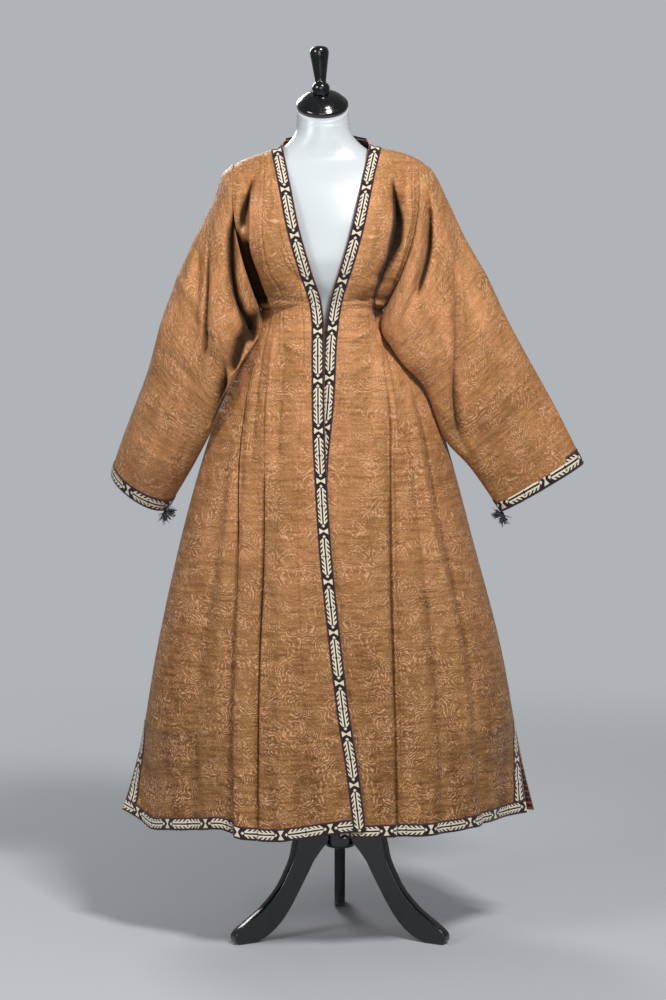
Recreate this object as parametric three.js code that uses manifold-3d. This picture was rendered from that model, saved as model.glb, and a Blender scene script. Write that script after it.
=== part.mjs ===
// A chapan: a long Central Asian robe of one layer of brocade, edged with patterned woven band, worn by a
// limbless dress form on a three-legged stand. Millimetres, +Z up, +Y away from the viewer, +X to the viewer's
// right. Right and left in the names are the wearer's, so the right front is on the viewer's left, and on top.

import * as THREE from "three";
import { mergeVertices } from "three/addons/utils/BufferGeometryUtils.js";
import Module from "manifold-3d";

const wasm = await Module();
wasm.setup();

// Driving dimensions
const CLOTH = 2; // cloth wall
const SEAM = 0.3; // space between two pieces at a seam
const BAND_WIDTH = 25;
const BAND_LIFT = 0.4; // from the panel to the band's underside
const BAND_TOP = 1.6; // from the panel to the band's face
const HEM_Z = 240;
const UNDERARM_Z = 1250;
const SLIT_TOP_Z = 425;
// At the hem, how far each side of a slit stands from the side line, front to back, and how much of the panel's
// width is a curl outwards, or a step inwards where it is less than none, towards its edge.
const SLITS = {
  right_front: { spread: 22, curl: 24, step: 6 },
  left_front: { spread: 26, curl: 22, step: -18 },
  right_back: { spread: 22, curl: 8, step: 0 },
  left_back: { spread: 22, curl: 30, step: 0 },
};
const CURL_WIDTH = 70;
const OVERLAP_LIFT = 7; // how far the right front stands before the left one
const COLLAR_HEIGHT = 24; // band that stands round the back of the neck
const STAND_LEAN = -35 / 1490; // the form's axis leans to the viewer's left by this much for each millimetre up
const LEAN_FROM_Z = 170;
const CAMERA_SIDE = -1; // the front faces -Y

// The robe's girth: half widths to the viewer's left and right of the axis, depth before and behind it, and the
// power of the rounded outline. Above the underarm the outline is the one that the armholes cut.
const GIRTH = {
  columns: ["z", "left", "right", "front", "back", "power"],
  rows: [
    [200, 438, 404, 256, 240, 2.15],
    [366, 398, 366, 238, 224, 2.15],
    [562, 360, 335, 213, 204, 2.15],
    [790, 305, 281, 181, 180, 2.15],
    [982, 247, 233, 152, 158, 2.15],
    [1080, 210, 201, 136, 144, 2.15],
    [1114, 196, 182, 129, 139, 2.15],
    [1153, 182, 151, 122, 131, 2.15],
    [1190, 164, 126, 116, 123, 2.15],
    [1215, 151, 117, 112, 118, 2.2],
    [1238, 136, 112, 109, 112, 2.25],
    [1250, 132, 111, 108, 109, 2.3],
    [1268, 152, 132, 111, 108, 2.3],
    [1300, 194, 182, 121, 106, 2.3],
    [1350, 218, 214, 130, 108, 2.3],
    [1400, 228, 228, 125, 108, 2.3],
    [1450, 226, 226, 112, 106, 2.3],
    [1500, 214, 216, 88, 98, 2.3],
    [1525, 198, 210, 70, 90, 2.3],
    [1541, 176, 200, 58, 82, 2.3],
    [1552, 153, 184, 54, 76, 2.3],
    [1562, 124, 160, 54, 71, 2.3],
    [1572, 92, 122, 56, 68, 2.3],
    [1580, 75, 100, 54, 67, 2.3],
    [1610, 60, 96, 52, 66, 2.3],
  ],
};

// The fronts' inner edges, as X at a height.
const RIGHT_EDGE = {
  columns: ["z", "x"],
  rows: [
    [230, 51], [372, 34], [463, 20], [559, 8], [636, -1], [806, -18], [921, -25], [1038, -30],
    [1160, -31], [1215, -31], [1264, -36], [1324, -55], [1416, -81], [1500, -97], [1572, -110],
  ],
};
const LEFT_EDGE = {
  columns: ["z", "x"],
  rows: [
    [230, -3], [463, -27], [636, -43], [806, -51], [930, -49], [1067, -37], [1114, -34],
    [1170, -32], [1223, -27], [1272, -19], [1338, 2], [1416, 26], [1504, 48], [1572, 76],
  ],
};

// Seams, pleats and grooves that run down a front. Each is an X at a height, and how far the cloth stands out
// of the plain outline there.
const RIGHT_FOLDS = [
  {
    name: "panel seam", columns: ["z", "x", "out"],
    rows: [[240, -50, 0], [430, -65, 3], [580, -75, 2], [806, -84, 2], [1030, -84, 1], [1180, -72, 1],
      [1262, -78, 1], [1400, -118, 2], [1572, -126, 0]],
  },
  {
    name: "gore seam", columns: ["z", "x", "out"],
    rows: [[240, -160, 2], [393, -161, -2], [542, -159, -3], [797, -151, -2], [1075, -148, 0], [1180, -112, 0],
      [1262, -112, 2], [1330, -136, 6], [1420, -152, 6], [1500, -150, 3], [1572, -150, 0]],
  },
  {
    name: "pleat lip", columns: ["z", "x", "out"],
    rows: [[240, -200, 9], [411, -207, 8], [580, -204, 7], [768, -199, 5], [921, -198, 4], [1075, -186, 2],
      [1170, -150, 1], [1238, -134, 0], [1290, -146, 3], [1367, -172, 6], [1456, -176, 3], [1540, -178, 0]],
  },
  {
    name: "pleat bottom", columns: ["z", "x", "out"],
    rows: [[240, -214, -16], [411, -218, -15], [580, -214, -14], [768, -209, -11], [921, -208, -8],
      [1075, -196, -5], [1170, -160, -3], [1238, -142, -4], [1290, -158, -9], [1367, -188, -10],
      [1456, -186, -6], [1540, -190, 0]],
  },
];
const LEFT_FOLDS = [
  {
    name: "panel seam", columns: ["z", "x", "out"],
    rows: [[240, 106, 2], [430, 104, 3], [580, 100, 2], [750, 96, 1], [1000, 96, 1], [1170, 78, 2],
      [1238, 70, 2], [1289, 74, 4], [1357, 92, 3], [1456, 104, 2], [1545, 106, 0]],
  },
  {
    name: "groove bottom", columns: ["z", "x", "out"],
    rows: [[240, 118, -5], [430, 115, -6], [580, 113, -5], [750, 110, -3], [1000, 106, -3], [1170, 88, -5],
      [1238, 80, -9], [1289, 86, -20], [1357, 105, -22], [1456, 116, -16], [1545, 118, 0]],
  },
  {
    name: "ridge", columns: ["z", "x", "out"],
    rows: [[240, 190, 4], [430, 182, 4], [580, 172, 3], [750, 160, 3], [1000, 140, 3], [1170, 104, 2],
      [1238, 92, 2], [1289, 100, 4], [1357, 120, 6], [1456, 130, 5], [1545, 130, 0]],
  },
  {
    name: "gore seam", columns: ["z", "x", "out"],
    rows: [[240, 281, 3], [430, 270, -4], [561, 258, -4], [710, 230, -3], [846, 198, -2], [1024, 166, -2],
      [1120, 138, 0], [1180, 114, 0], [1238, 97, 0], [1289, 116, 4], [1357, 136, 7], [1456, 142, 4],
      [1545, 142, 0]],
  },
];

// The hem isn't level: its height by X, along each front.
const HEMS = {
  right: {
    columns: ["x", "z"],
    rows: [[-434, 248], [-400, 235], [-370, 221], [-338, 227], [-289, 233], [-232, 243], [-190, 233],
      [-146, 230], [-88, 235], [-29, 245], [50, 254]],
  },
  left: {
    columns: ["x", "z"],
    rows: [[-3, 238], [60, 240], [156, 238], [246, 240], [370, 243]],
  },
};

// Armholes: where the top is on the shoulder line and the bottom under the arm, the half depth, and the bow
// outwards between them.
const ARMHOLES = {
  right: { topX: -212, bottomX: -157, depth: 84, bow: -18 },
  left: { topX: 152, bottomX: 86, depth: 86, bow: 26 },
};

// Sleeves from armhole to cuff: the upper edge, the lower edge, and the half depth of each section.
const SLEEVE_COLUMNS = ["section", "topX", "topY", "topZ", "lowX", "lowY", "lowZ", "depth"];
const SLEEVES = {
  right: {
    columns: SLEEVE_COLUMNS,
    rows: [
      [0, -212, 0, 1541, -157, 0, 1250, 84],
      [0.4, -233, 0, 1522, -170, -32, 1226, 77],
      [1, -250, 0, 1476, -190, -70, 1192, 66],
      [2, -274, 4, 1420, -210, -92, 1150, 58],
      [3, -311, 14, 1334, -222, -92, 1108, 54],
      [4, -343, 28, 1246, -240, -88, 1064, 52],
      [5, -381, 48, 1120, -262, -66, 1010, 52],
      [6, -428, 74, 1010, -300, -18, 936, 52],
      [7, -459, 98, 928, -352, 52, 846, 52],
    ],
  },
  left: {
    columns: SLEEVE_COLUMNS,
    rows: [
      [0, 152, 0, 1552, 86, 0, 1250, 86],
      [0.4, 183, 0, 1529, 92, -18, 1234, 78],
      [1, 211, 2, 1476, 98, -42, 1214, 68],
      [2, 248, 5, 1396, 114, -58, 1186, 58],
      [3, 291, 8, 1320, 134, -62, 1148, 50],
      [4, 330, 10, 1239, 166, -58, 1100, 46],
      [5, 381, 14, 1146, 208, -46, 994, 40],
      [6, 431, 18, 1058, 258, -22, 938, 34],
      [7, 490, 20, 942, 323, 4, 846, 28],
    ],
  },
};
const CUFF_SECTION = 7;

// Folds along the sleeves: the section they run through, the place between the upper edge, 0, and the lower
// one, 1, and how far the cloth stands out there. Width is the place's own span.
const SLEEVE_FOLDS = {
  right: [
    { width: 0.11, columns: ["section", "place", "out"],
      rows: [[0.3, 0.4, 0], [0.8, 0.52, -14], [1.2, 0.68, -14], [1.7, 0.8, -6], [2.1, 0.9, 0]] },
    { width: 0.13, columns: ["section", "place", "out"],
      rows: [[1.2, 0.12, 0], [1.8, 0.2, -9], [2.5, 0.4, -14], [3.3, 0.55, -12], [4.4, 0.62, -4], [5, 0.6, 0]] },
    { width: 0.14, columns: ["section", "place", "out"],
      rows: [[2.4, 0.78, 0], [3.2, 0.86, -9], [4.6, 0.9, -8], [5.6, 0.8, 0]] },
    { width: 0.16, columns: ["section", "place", "out"],
      rows: [[3, 0.2, 0], [4.2, 0.26, 7], [5.6, 0.3, 6], [6.8, 0.4, 0]] },
  ],
  left: [
    { width: 0.1, columns: ["section", "place", "out"],
      rows: [[0.3, 0.2, 0], [0.7, 0.36, -8], [1.1, 0.55, -12], [1.5, 0.74, -8], [1.9, 0.86, 0]] },
    { width: 0.12, columns: ["section", "place", "out"],
      rows: [[1.5, 0.1, 0], [2, 0.17, -10], [2.9, 0.34, -14], [4, 0.6, -16], [4.9, 0.8, -9], [5.6, 0.9, 0]] },
    { width: 0.14, columns: ["section", "place", "out"],
      rows: [[2.4, 0.42, 0], [3.2, 0.52, 8], [4.2, 0.78, 8], [5, 0.95, 0]] },
    { width: 0.12, columns: ["section", "place", "out"],
      rows: [[3.6, 0.1, 0], [4.2, 0.2, -5], [5.3, 0.3, -6], [6.2, 0.36, 0]] },
  ],
};

// The dress form: half width, depth before and behind the axis. It stays inside the robe.
const FORM_DEPTH_POWER = 2.3;
const FORM = {
  columns: ["z", "half", "front", "back"],
  rows: [
    [905, 158, 96, 104], [965, 172, 112, 120], [1040, 160, 108, 120], [1110, 132, 96, 104],
    [1165, 106, 90, 90], [1215, 99, 90, 90], [1262, 98, 94, 92], [1310, 116, 112, 92],
    [1350, 132, 118, 94], [1400, 144, 112, 98], [1450, 158, 100, 100], [1490, 170, 86, 92],
    [1520, 168, 70, 82], [1537, 151, 59, 73], [1548, 127, 53, 67], [1558, 98, 51, 63],
    [1568, 71, 50, 58], [1583, 58, 50, 54], [1605, 53, 49, 52], [1660, 50.5, 47, 50],
  ],
};
const FORM_LEVELS = [905, 935, 965, 1002, 1040, 1075, 1110, 1165, 1215, 1262, 1300, 1340, 1380, 1420, 1460, 1490,
  1520, 1537, 1548, 1558, 1568, 1583, 1605];
const FORM_POINTS = 28;
// The cap on the neck: a disc with a domed top, tilted forward, and the handle that stands on it.
const CAP_MIDDLE = [-35, 2, 1659];
const CAP_TILT = THREE.MathUtils.degToRad(31);
const CAP_RADIUS = 51.5;
const CAP_UNDER = 6; // from the disc's middle plane down to its flat underside
const CAP_DOME = 24; // and up to the top of the dome
const HANDLE_FOOT = [-37.4, -8, 1672];
const HANDLE_LEAN = THREE.MathUtils.degToRad(-2.4);
const HANDLE_OUTLINE = [[0, 0], [12, 1], [16, 9], [17.8, 18], [16, 25], [11, 29], [11, 33], [14.6, 58], [18.8, 86],
  [18, 94], [13, 99.5], [0, 102]];

// The stand: a pole, a turned hub and three sawn legs.
const POLE_RADIUS = 14;
const HUB_RADIUS = 32;
const HUB_Z = [170, 292];
const HUB_CHAMFER = 7;
const LEG_THICKNESS = 22;
const LEG_FOOT = [200, 234]; // the flat of the foot, from the stand's axis
const LEG_TOP = [186, 288]; // the leg's end against the hub, as heights
const LEG_INSIDE = [[62, 154], [78, 128], [96, 98], [118, 63], [140, 35], [169, 12]];
const LEG_OUTSIDE = [[243, 8], [240, 24], [210, 45], [178, 66], [145, 98], [125, 130], [112, 158], [103, 195],
  [90, 236], [66, 268]];
// Tassels: yarn ends bunched at the cuffs' lower corners.
const TASSEL_HEAD = 3; // radius
const TASSEL_STRANDS = 12;
const TASSEL_LENGTH = 22;
const LEG_ANGLES = { leg_front_right: 210, leg_front_left: 330, leg_back: 90 }; // degrees from +X

// Reads a table: a smooth curve through its rows that never overshoots them, at a key, for one column.
function read(table, key, name) {
  const column = table.columns.indexOf(name);
  const rows = table.rows;
  const last = rows.length - 1;
  if (key <= rows[0][0]) return rows[0][column];
  if (key >= rows[last][0]) return rows[last][column];
  let i = 0;
  while (rows[i + 1][0] < key) i++;
  const slope = (n) => (rows[n + 1][column] - rows[n][column]) / (rows[n + 1][0] - rows[n][0]);
  const tangent = (n) => {
    if (n === 0) return slope(0);
    if (n === last) return slope(last - 1);
    const [a, b] = [slope(n - 1), slope(n)];
    return a * b <= 0 ? 0 : (2 * a * b) / (a + b);
  };
  const step = rows[i + 1][0] - rows[i][0];
  const t = (key - rows[i][0]) / step;
  const [h0, h1] = [2 * t ** 3 - 3 * t ** 2 + 1, t ** 3 - 2 * t ** 2 + t];
  const [h2, h3] = [3 * t ** 2 - 2 * t ** 3, t ** 3 - t ** 2];
  return h0 * rows[i][column] + h1 * step * tangent(i) + h2 * rows[i + 1][column] + h3 * step * tangent(i + 1);
}

const vec = (x, y, z) => new THREE.Vector3(x, y, z);
const mix = THREE.MathUtils.lerp;
const smooth = THREE.MathUtils.smoothstep;
const axisX = (z) => STAND_LEAN * (z - LEAN_FROM_Z);

// How far out of the middle plane the robe lies at x and z, before (sign -1) or behind (sign 1) it.
function robeDepth(x, z, side) {
  const offset = x - axisX(z);
  const reach = Math.abs(offset) / read(GIRTH, z, offset < 0 ? "left" : "right");
  const power = read(GIRTH, z, "power");
  const rest = Math.max(0, 1 - Math.min(1, reach) ** power) ** (1 / power);
  return side * read(GIRTH, z, side < 0 ? "front" : "back") * rest;
}

// The height of the shoulder line at x, where the outline's width is just the distance to the axis.
function shoulderZ(x) {
  let [low, high] = [1500, 1600];
  for (let step = 0; step < 40; step++) {
    const z = (low + high) / 2;
    const offset = x - axisX(z);
    if (read(GIRTH, z, offset < 0 ? "left" : "right") > Math.abs(offset)) low = z;
    else high = z;
  }
  return low;
}

// A point of an armhole, at an angle from its top, 0, over the front, a quarter turn, to the underarm.
function armholePoint(side, angle) {
  const { topX, bottomX, depth, bow } = ARMHOLES[side];
  const along = (1 + Math.cos(angle)) / 2;
  const x = mix(bottomX, topX, along) + bow * Math.sin(angle) ** 2;
  const y = CAMERA_SIDE * depth * Math.sin(angle);
  return vec(x, y, mix(UNDERARM_Z, shoulderZ(topX), along));
}

// Rows of a body panel: heights from the hem to the underarm, then fractions of the way up the armhole.
const SKIRT_ROWS = [HEM_Z, HEM_Z + BAND_WIDTH, 320, 372, SLIT_TOP_Z, 500, 580, 660, 740, 820, 900, 970, 1040, 1100,
  1150, 1192, 1220];
const BODICE_ROWS = [0, 0.09, 0.18, 0.28, 0.39, 0.5, 0.61, 0.71, 0.8, 0.88, 0.95, 1];

// The outer edge of a body panel at a row: the side line below the underarm, the armhole above it.
function outerEdge(row, side, face) {
  if (row.armhole !== undefined) {
    const point = armholePoint(side, Math.PI * (1 - row.armhole));
    point.y *= -face;
    return point;
  }
  const sign = side === "right" ? -1 : 1;
  const width = read(GIRTH, row.z, side === "right" ? "left" : "right");
  const { spread, curl, step } = SLITS[`${side}_${face < 0 ? "front" : "back"}`];
  const open = slitOpening(row.z);
  return vec(axisX(row.z) + sign * (width + (step - curl) * open), face * spread * open, row.z);
}
const slitOpening = (z) => Math.max(0, (SLIT_TOP_Z - z) / (SLIT_TOP_Z - HEM_Z));
const slitCurl = (side, row, fromEdge) =>
  SLITS[side].curl * slitOpening(row.z ?? SLIT_TOP_Z) * Math.max(0, 1 - fromEdge / CURL_WIDTH) ** 2;

const rowsOf = () => [
  ...SKIRT_ROWS.map((z) => ({ z })),
  ...BODICE_ROWS.map((armhole) => ({ armhole })),
];

// Places along a row of points, by the distance from its start.
function distances(points) {
  const run = [0];
  for (let i = 1; i < points.length; i++) run.push(run[i - 1] + points[i].distanceTo(points[i - 1]));
  return run;
}
function pointAt(points, run, distance) {
  let i = 0;
  while (i < run.length - 2 && run[i + 1] < distance) i++;
  const t = (distance - run[i]) / (run[i + 1] - run[i] || 1);
  return points[i].clone().lerp(points[i + 1], t);
}
// The distance at which a row that runs along X passes x.
function distanceAtX(points, run, x) {
  const sign = Math.sign(points[points.length - 1].x - points[0].x);
  for (let i = 1; i < points.length; i++) {
    if (sign * (points[i].x - x) >= 0) {
      const gap = points[i].x - points[i - 1].x;
      return run[i - 1] + (run[i] - run[i - 1]) * Math.max(0, (x - points[i - 1].x) / (gap || 1));
    }
  }
  return run[run.length - 1];
}

// A front's grid of points: rows from hem to shoulder, columns from the inner edge to the side and armhole.
// The columns lie on the band's line and on each fold, with a few more between them.
function frontPanel(side) {
  const edge = side === "right" ? RIGHT_EDGE : LEFT_EDGE;
  const folds = side === "right" ? RIGHT_FOLDS : LEFT_FOLDS;
  const between = [1, 2, 2, 1, 1, 3, 1];
  if (side === "left") between.splice(0, 7, 1, 2, 1, 2, 2, 2, 1);
  const sign = side === "right" ? -1 : 1;
  const samples = 160;
  return rowsOf().map((row) => {
    const outer = outerEdge(row, side, -1);
    const fraction = row.armhole ?? 0;
    const neckX = edge.rows[edge.rows.length - 1][1];
    const innerZ = row.armhole === undefined ? row.z : mix(UNDERARM_Z, shoulderZ(neckX), fraction);
    const innerX = read(edge, innerZ, "x");
    const turn = (x, z) => {
      const offset = x - axisX(z);
      return Math.asin(THREE.MathUtils.clamp(offset / read(GIRTH, z, offset < 0 ? "left" : "right"), -1, 1));
    };
    const [from, to] = [turn(innerX, innerZ), turn(outer.x, outer.z)];
    const onArc = (f) => {
      const angle = mix(from, to, f);
      const z = mix(innerZ, outer.z, f);
      return axisX(z) + read(GIRTH, z, angle < 0 ? "left" : "right") * Math.sin(angle);
    };
    const points = [];
    for (let n = 0; n <= samples; n++) {
      const f = n / samples;
      const x = n === samples ? outer.x : onArc(f);
      const z = row.armhole === 1 ? shoulderZ(x) : mix(innerZ, outer.z, f);
      const y = row.armhole === 1 ? 0 : robeDepth(x, z, -1);
      points.push(vec(x, y, z));
    }
    if (row.armhole !== 1) {
      const shift = outer.y - points[samples].y;
      points.forEach((p, n) => (p.y += shift * smooth(n / samples, 0.35, 1)));
    }
    const run = distances(points);
    const length = run[samples];
    const stops = [0, Math.min(BAND_WIDTH, length * 0.2)];
    const lifts = [0, 0];
    for (const fold of folds) {
      const z = mix(innerZ, outer.z, 0.5);
      const at = distanceAtX(points, run, read(fold, z, "x"));
      stops.push(THREE.MathUtils.clamp(at, stops[stops.length - 1] + 5, length - 5 * (7 - stops.length)));
      lifts.push(read(fold, z, "out"));
    }
    const sideBand = row.armhole === undefined ? BAND_WIDTH : BAND_WIDTH * (1 - 0.5 * row.armhole);
    stops.push(Math.max(stops[stops.length - 1] + 4, length - Math.min(sideBand, (length - stops.at(-1)) * 0.4)));
    stops.push(length);
    lifts.push(0, 0);
    const places = [];
    for (let k = 0; k < stops.length - 1; k++) {
      const parts = between[k];
      for (let n = 0; n < parts; n++) {
        const t = n / parts;
        places.push({ at: mix(stops[k], stops[k + 1], t), out: mix(lifts[k], lifts[k + 1], t) });
      }
    }
    places.push({ at: length, out: 0 });
    const near = row.armhole === undefined ? 1 : smooth(0.4 - fraction, 0.2, 0.4);
    const overlap = (side === "right" ? 1 : 0) * OVERLAP_LIFT * near;
    return places.map(({ at, out }) => {
      const point = pointAt(points, run, at);
      const before = pointAt(points, run, Math.max(0, at - 4));
      const after = pointAt(points, run, Math.min(length, at + 4));
      const along = after.sub(before).normalize();
      const normal = vec(along.y, -along.x, 0).multiplyScalar(sign).normalize();
      point.addScaledVector(normal, out);
      point.y += CAMERA_SIDE * overlap * (1 - smooth(at, 60, 190));
      point.x += sign * slitCurl(`${side}_front`, row, length - at);
      if (row.armhole === undefined) {
        const fade = 1 - smooth(row.z, HEM_Z + BAND_WIDTH, 520);
        point.z += (read(HEMS[side], point.x, "z") - HEM_Z) * fade;
      }
      return point;
    });
  });
}

// The back's grid: rows from hem to shoulder and neck, columns from the right side to the left one.
const BACK_FOLDS = {
  columns: ["place", "out"],
  rows: [[0, 0], [0.12, 6], [0.17, -9], [0.3, 7], [0.36, -6], [0.44, 5], [0.5, -5], [0.56, 5], [0.64, -6],
    [0.7, 7], [0.83, -9], [0.88, 6], [1, 0]],
};
function backPanel() {
  const columns = 26;
  const corners = [RIGHT_EDGE, LEFT_EDGE].map((edge) => edge.rows[edge.rows.length - 1][1]);
  const cornerPlaces = [8 / columns, 18 / columns];
  return rowsOf().map((row) => {
    const [start, end] = [outerEdge(row, "right", 1), outerEdge(row, "left", 1)];
    const climb = row.armhole === undefined ? 0 : (1 - Math.cos(Math.PI * row.armhole)) / 2;
    const top = (f) => {
      const [a, b] = cornerPlaces;
      if (f < a) return mix(start.x, corners[0], f / a);
      if (f > b) return mix(corners[1], end.x, (f - b) / (1 - b));
      const turn = Math.PI * ((f - a) / (b - a) - 0.5);
      return mix(corners[0], corners[1], 0.5 + 0.5 * Math.sin(turn));
    };
    const arc = (f) => {
      const z = mix(start.z, end.z, f);
      const reach = (x, point) => Math.asin(THREE.MathUtils.clamp((point.x - axisX(z)) / x, -1, 1));
      const left = reach(read(GIRTH, start.z, "left"), start);
      const right = reach(read(GIRTH, end.z, "right"), end);
      const angle = mix(left, right, f);
      return axisX(z) + read(GIRTH, z, angle < 0 ? "left" : "right") * Math.sin(angle);
    };
    const points = [];
    for (let n = 0; n <= columns; n++) {
      let f = n / columns;
      if (row.armhole === undefined && (n === 1 || n === columns - 1)) {
        const inset = BAND_WIDTH / (Math.PI * 0.5 * (read(GIRTH, row.z, "left") + read(GIRTH, row.z, "back")));
        f = n === 1 ? inset : 1 - inset;
      }
      const x = n === 0 ? start.x : n === columns ? end.x : mix(arc(f), top(f), climb ** 2);
      const neckZ = mix(start.z, end.z, f);
      const rise = x > corners[0] && x < corners[1] ? shoulderZ(corners[0]) : shoulderZ(x);
      const inside = smooth(f, 0, cornerPlaces[0]) * (1 - smooth(f, cornerPlaces[1], 1));
      const z = row.armhole === undefined ? row.z : mix(UNDERARM_Z, rise, mix(climb, row.armhole, inside));
      const onTop = row.armhole === 1;
      const ridge = onTop && !(x > corners[0] + 0.5 && x < corners[1] - 0.5);
      const y = ridge ? 0 : robeDepth(x, onTop ? Math.min(z, neckZ + 60) : z, 1);
      points.push(vec(x, y, z));
    }
    if (row.armhole !== 1) {
      const shifts = [start.y - points[0].y, end.y - points[columns].y];
      points.forEach((p, n) => {
        p.y += shifts[0] * (1 - smooth(n / columns, 0, 0.3)) + shifts[1] * smooth(n / columns, 0.7, 1);
      });
      points[0].copy(start);
      points[columns].copy(end);
    }
    const pleats = 1 - smooth(row.z ?? UNDERARM_Z, 300, 1200);
    const run = distances(points);
    points.forEach((p, n) => {
      const out = read(BACK_FOLDS, n / columns, "out") * 2 * pleats;
      p.y = Math.max(SEAM, p.y + out * Math.min(1, p.y / 60));
      p.x += slitCurl("left_back", row, run[columns] - run[n]) - slitCurl("right_back", row, run[n]);
    });
    return points;
  });
}

// A sleeve's section at a place between two rows of its table: a ring of points, from the upper edge over the
// front and the lower edge to the back.
const SLEEVE_ANGLES = [
  ...BODICE_ROWS.toReversed().map((armhole) => Math.PI * (1 - armhole)),
  ...BODICE_ROWS.slice(1, -1).map((armhole) => Math.PI * (1 + armhole)),
];
const BOW_ENDS = 3; // the section where the armhole's bow has died out
function sleeveRing(side, section) {
  const rows = SLEEVES[side];
  const ends = (at) => ({
    top: vec(read(rows, at, "topX"), read(rows, at, "topY"), read(rows, at, "topZ")),
    low: vec(read(rows, at, "lowX"), read(rows, at, "lowY"), read(rows, at, "lowZ")),
  });
  const { top, low } = ends(section);
  if (section === 0) top.z = shoulderZ(top.x);
  const middle = (at) => ends(at).top.add(ends(at).low).multiplyScalar(0.5);
  const along = middle(Math.min(CUFF_SECTION, section + 0.3)).sub(middle(Math.max(0, section - 0.3))).normalize();
  const half = top.clone().sub(low).multiplyScalar(0.5);
  const forward = along.clone().cross(half).normalize();
  if (forward.y > 0) forward.negate();
  forward.lerp(vec(0, CAMERA_SIDE, 0), Math.max(0, 1 - section / BOW_ENDS)).normalize();
  const centre = top.clone().add(low).multiplyScalar(0.5);
  const depth = read(rows, section, "depth");
  const bow = ARMHOLES[side].bow * Math.max(0, 1 - section / BOW_ENDS);
  const points = [];
  for (const angle of SLEEVE_ANGLES) {
    const place = (1 - Math.cos(angle)) / 2;
    let out = 0;
    if (Math.sin(angle) > 0) {
      for (const fold of SLEEVE_FOLDS[side]) {
        const away = (place - read(fold, section, "place")) / fold.width;
        out += read(fold, section, "out") * Math.exp(-away * away);
      }
    }
    const point = centre.clone().addScaledVector(half, Math.cos(angle));
    point.addScaledVector(forward, Math.sin(angle) * depth + out);
    point.x += bow * Math.sin(angle) ** 2;
    points.push(point);
  }
  return points;
}
const SLEEVE_SECTIONS = [0, 0.2, 0.4, 0.7, 1, 1.35, 1.7, 2.1, 2.5, 3, 3.5, 4, 4.5, 5, 5.5, 6, 6.4, 6.75,
  CUFF_SECTION];
const CUFF_BAND_ROWS = 2; // the band covers the last rows

// The way out of each point of a grid, from the slopes of the grid. Rows may close on themselves.
function normalsOf(grid, closed) {
  let facing = 0;
  const normals = grid.map((row, r) => {
    const centre = vec(0, 0, 0);
    row.forEach((p) => centre.addScaledVector(p, 1 / row.length));
    if (!closed) centre.set(axisX(centre.z), 0, centre.z);
    return row.map((point, c) => {
      const last = row.length - 1;
      const [up, down] = [grid[Math.min(r + 1, grid.length - 1)][c], grid[Math.max(r - 1, 0)][c]];
      const next = closed ? row[(c + 1) % row.length] : row[Math.min(c + 1, last)];
      const before = closed ? row[(c + last) % row.length] : row[Math.max(c - 1, 0)];
      const normal = up.clone().sub(down).cross(next.clone().sub(before)).normalize();
      facing += normal.dot(point.clone().sub(centre).normalize());
      return normal;
    });
  });
  if (facing < 0) normals.flat().forEach((normal) => normal.negate());
  return normals;
}

// A wall between two offsets from a grid of points along its normals: both faces and the borders round them.
function wall({ grid, normals, closed = false }, outside, inside) {
  const [rows, columns] = [grid.length, grid[0].length];
  const position = [];
  for (const offset of [outside, inside]) {
    grid.forEach((row, r) =>
      row.forEach((p, c) => position.push(...p.clone().addScaledVector(normals[r][c], offset).toArray())),
    );
  }
  const at = (layer, r, c) => (layer * rows + r) * columns + (c % columns);
  const index = [];
  const quad = (a, b, c, d) => index.push(a, b, c, a, c, d);
  const spans = closed ? columns : columns - 1;
  for (let r = 0; r < rows - 1; r++) {
    for (let c = 0; c < spans; c++) {
      quad(at(0, r, c), at(0, r + 1, c), at(0, r + 1, c + 1), at(0, r, c + 1));
      quad(at(1, r, c), at(1, r, c + 1), at(1, r + 1, c + 1), at(1, r + 1, c));
    }
  }
  for (let c = 0; c < spans; c++) {
    quad(at(0, 0, c), at(0, 0, c + 1), at(1, 0, c + 1), at(1, 0, c));
    quad(at(0, rows - 1, c + 1), at(0, rows - 1, c), at(1, rows - 1, c), at(1, rows - 1, c + 1));
  }
  if (!closed) {
    for (let r = 0; r < rows - 1; r++) {
      quad(at(0, r + 1, 0), at(0, r, 0), at(1, r, 0), at(1, r + 1, 0));
      quad(at(0, r, columns - 1), at(0, r + 1, columns - 1), at(1, r + 1, columns - 1), at(1, r, columns - 1));
    }
  }
  return outwards(position, index);
}

// Makes the geometry, with its faces turned outwards whichever way its grid ran.
function outwards(position, index) {
  let volume = 0;
  const p = (i) => vec(...position.slice(3 * i, 3 * i + 3));
  for (let t = 0; t < index.length; t += 3) {
    volume += p(index[t]).dot(p(index[t + 1]).cross(p(index[t + 2])));
  }
  if (volume < 0) index.reverse();
  const geometry = new THREE.BufferGeometry();
  geometry.setAttribute("position", new THREE.Float32BufferAttribute(position, 3));
  geometry.setIndex(index);
  return geometry;
}

// Part of a sheet: some of its rows and columns, with the same normals, drawn in from its edges by a hair.
function strip({ grid, normals, closed }, rows, columns) {
  const cut = (table) => table.slice(...rows).map((row) => (columns ? row.slice(...columns) : row));
  const points = cut(grid).map((row) => row.map((p) => p.clone()));
  const pull = (p, towards) => p.add(towards.clone().sub(p).setLength(SEAM / 2));
  const last = points.length - 1;
  points[0].forEach((p, c) => pull(p, points[1][c]));
  points[last].forEach((p, c) => pull(p, points[last - 1][c]));
  if (columns) {
    for (const row of points) {
      pull(row[0], row[1]);
      pull(row.at(-1), row.at(-2));
    }
  }
  return { grid: points, normals: cut(normals), closed };
}

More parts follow.
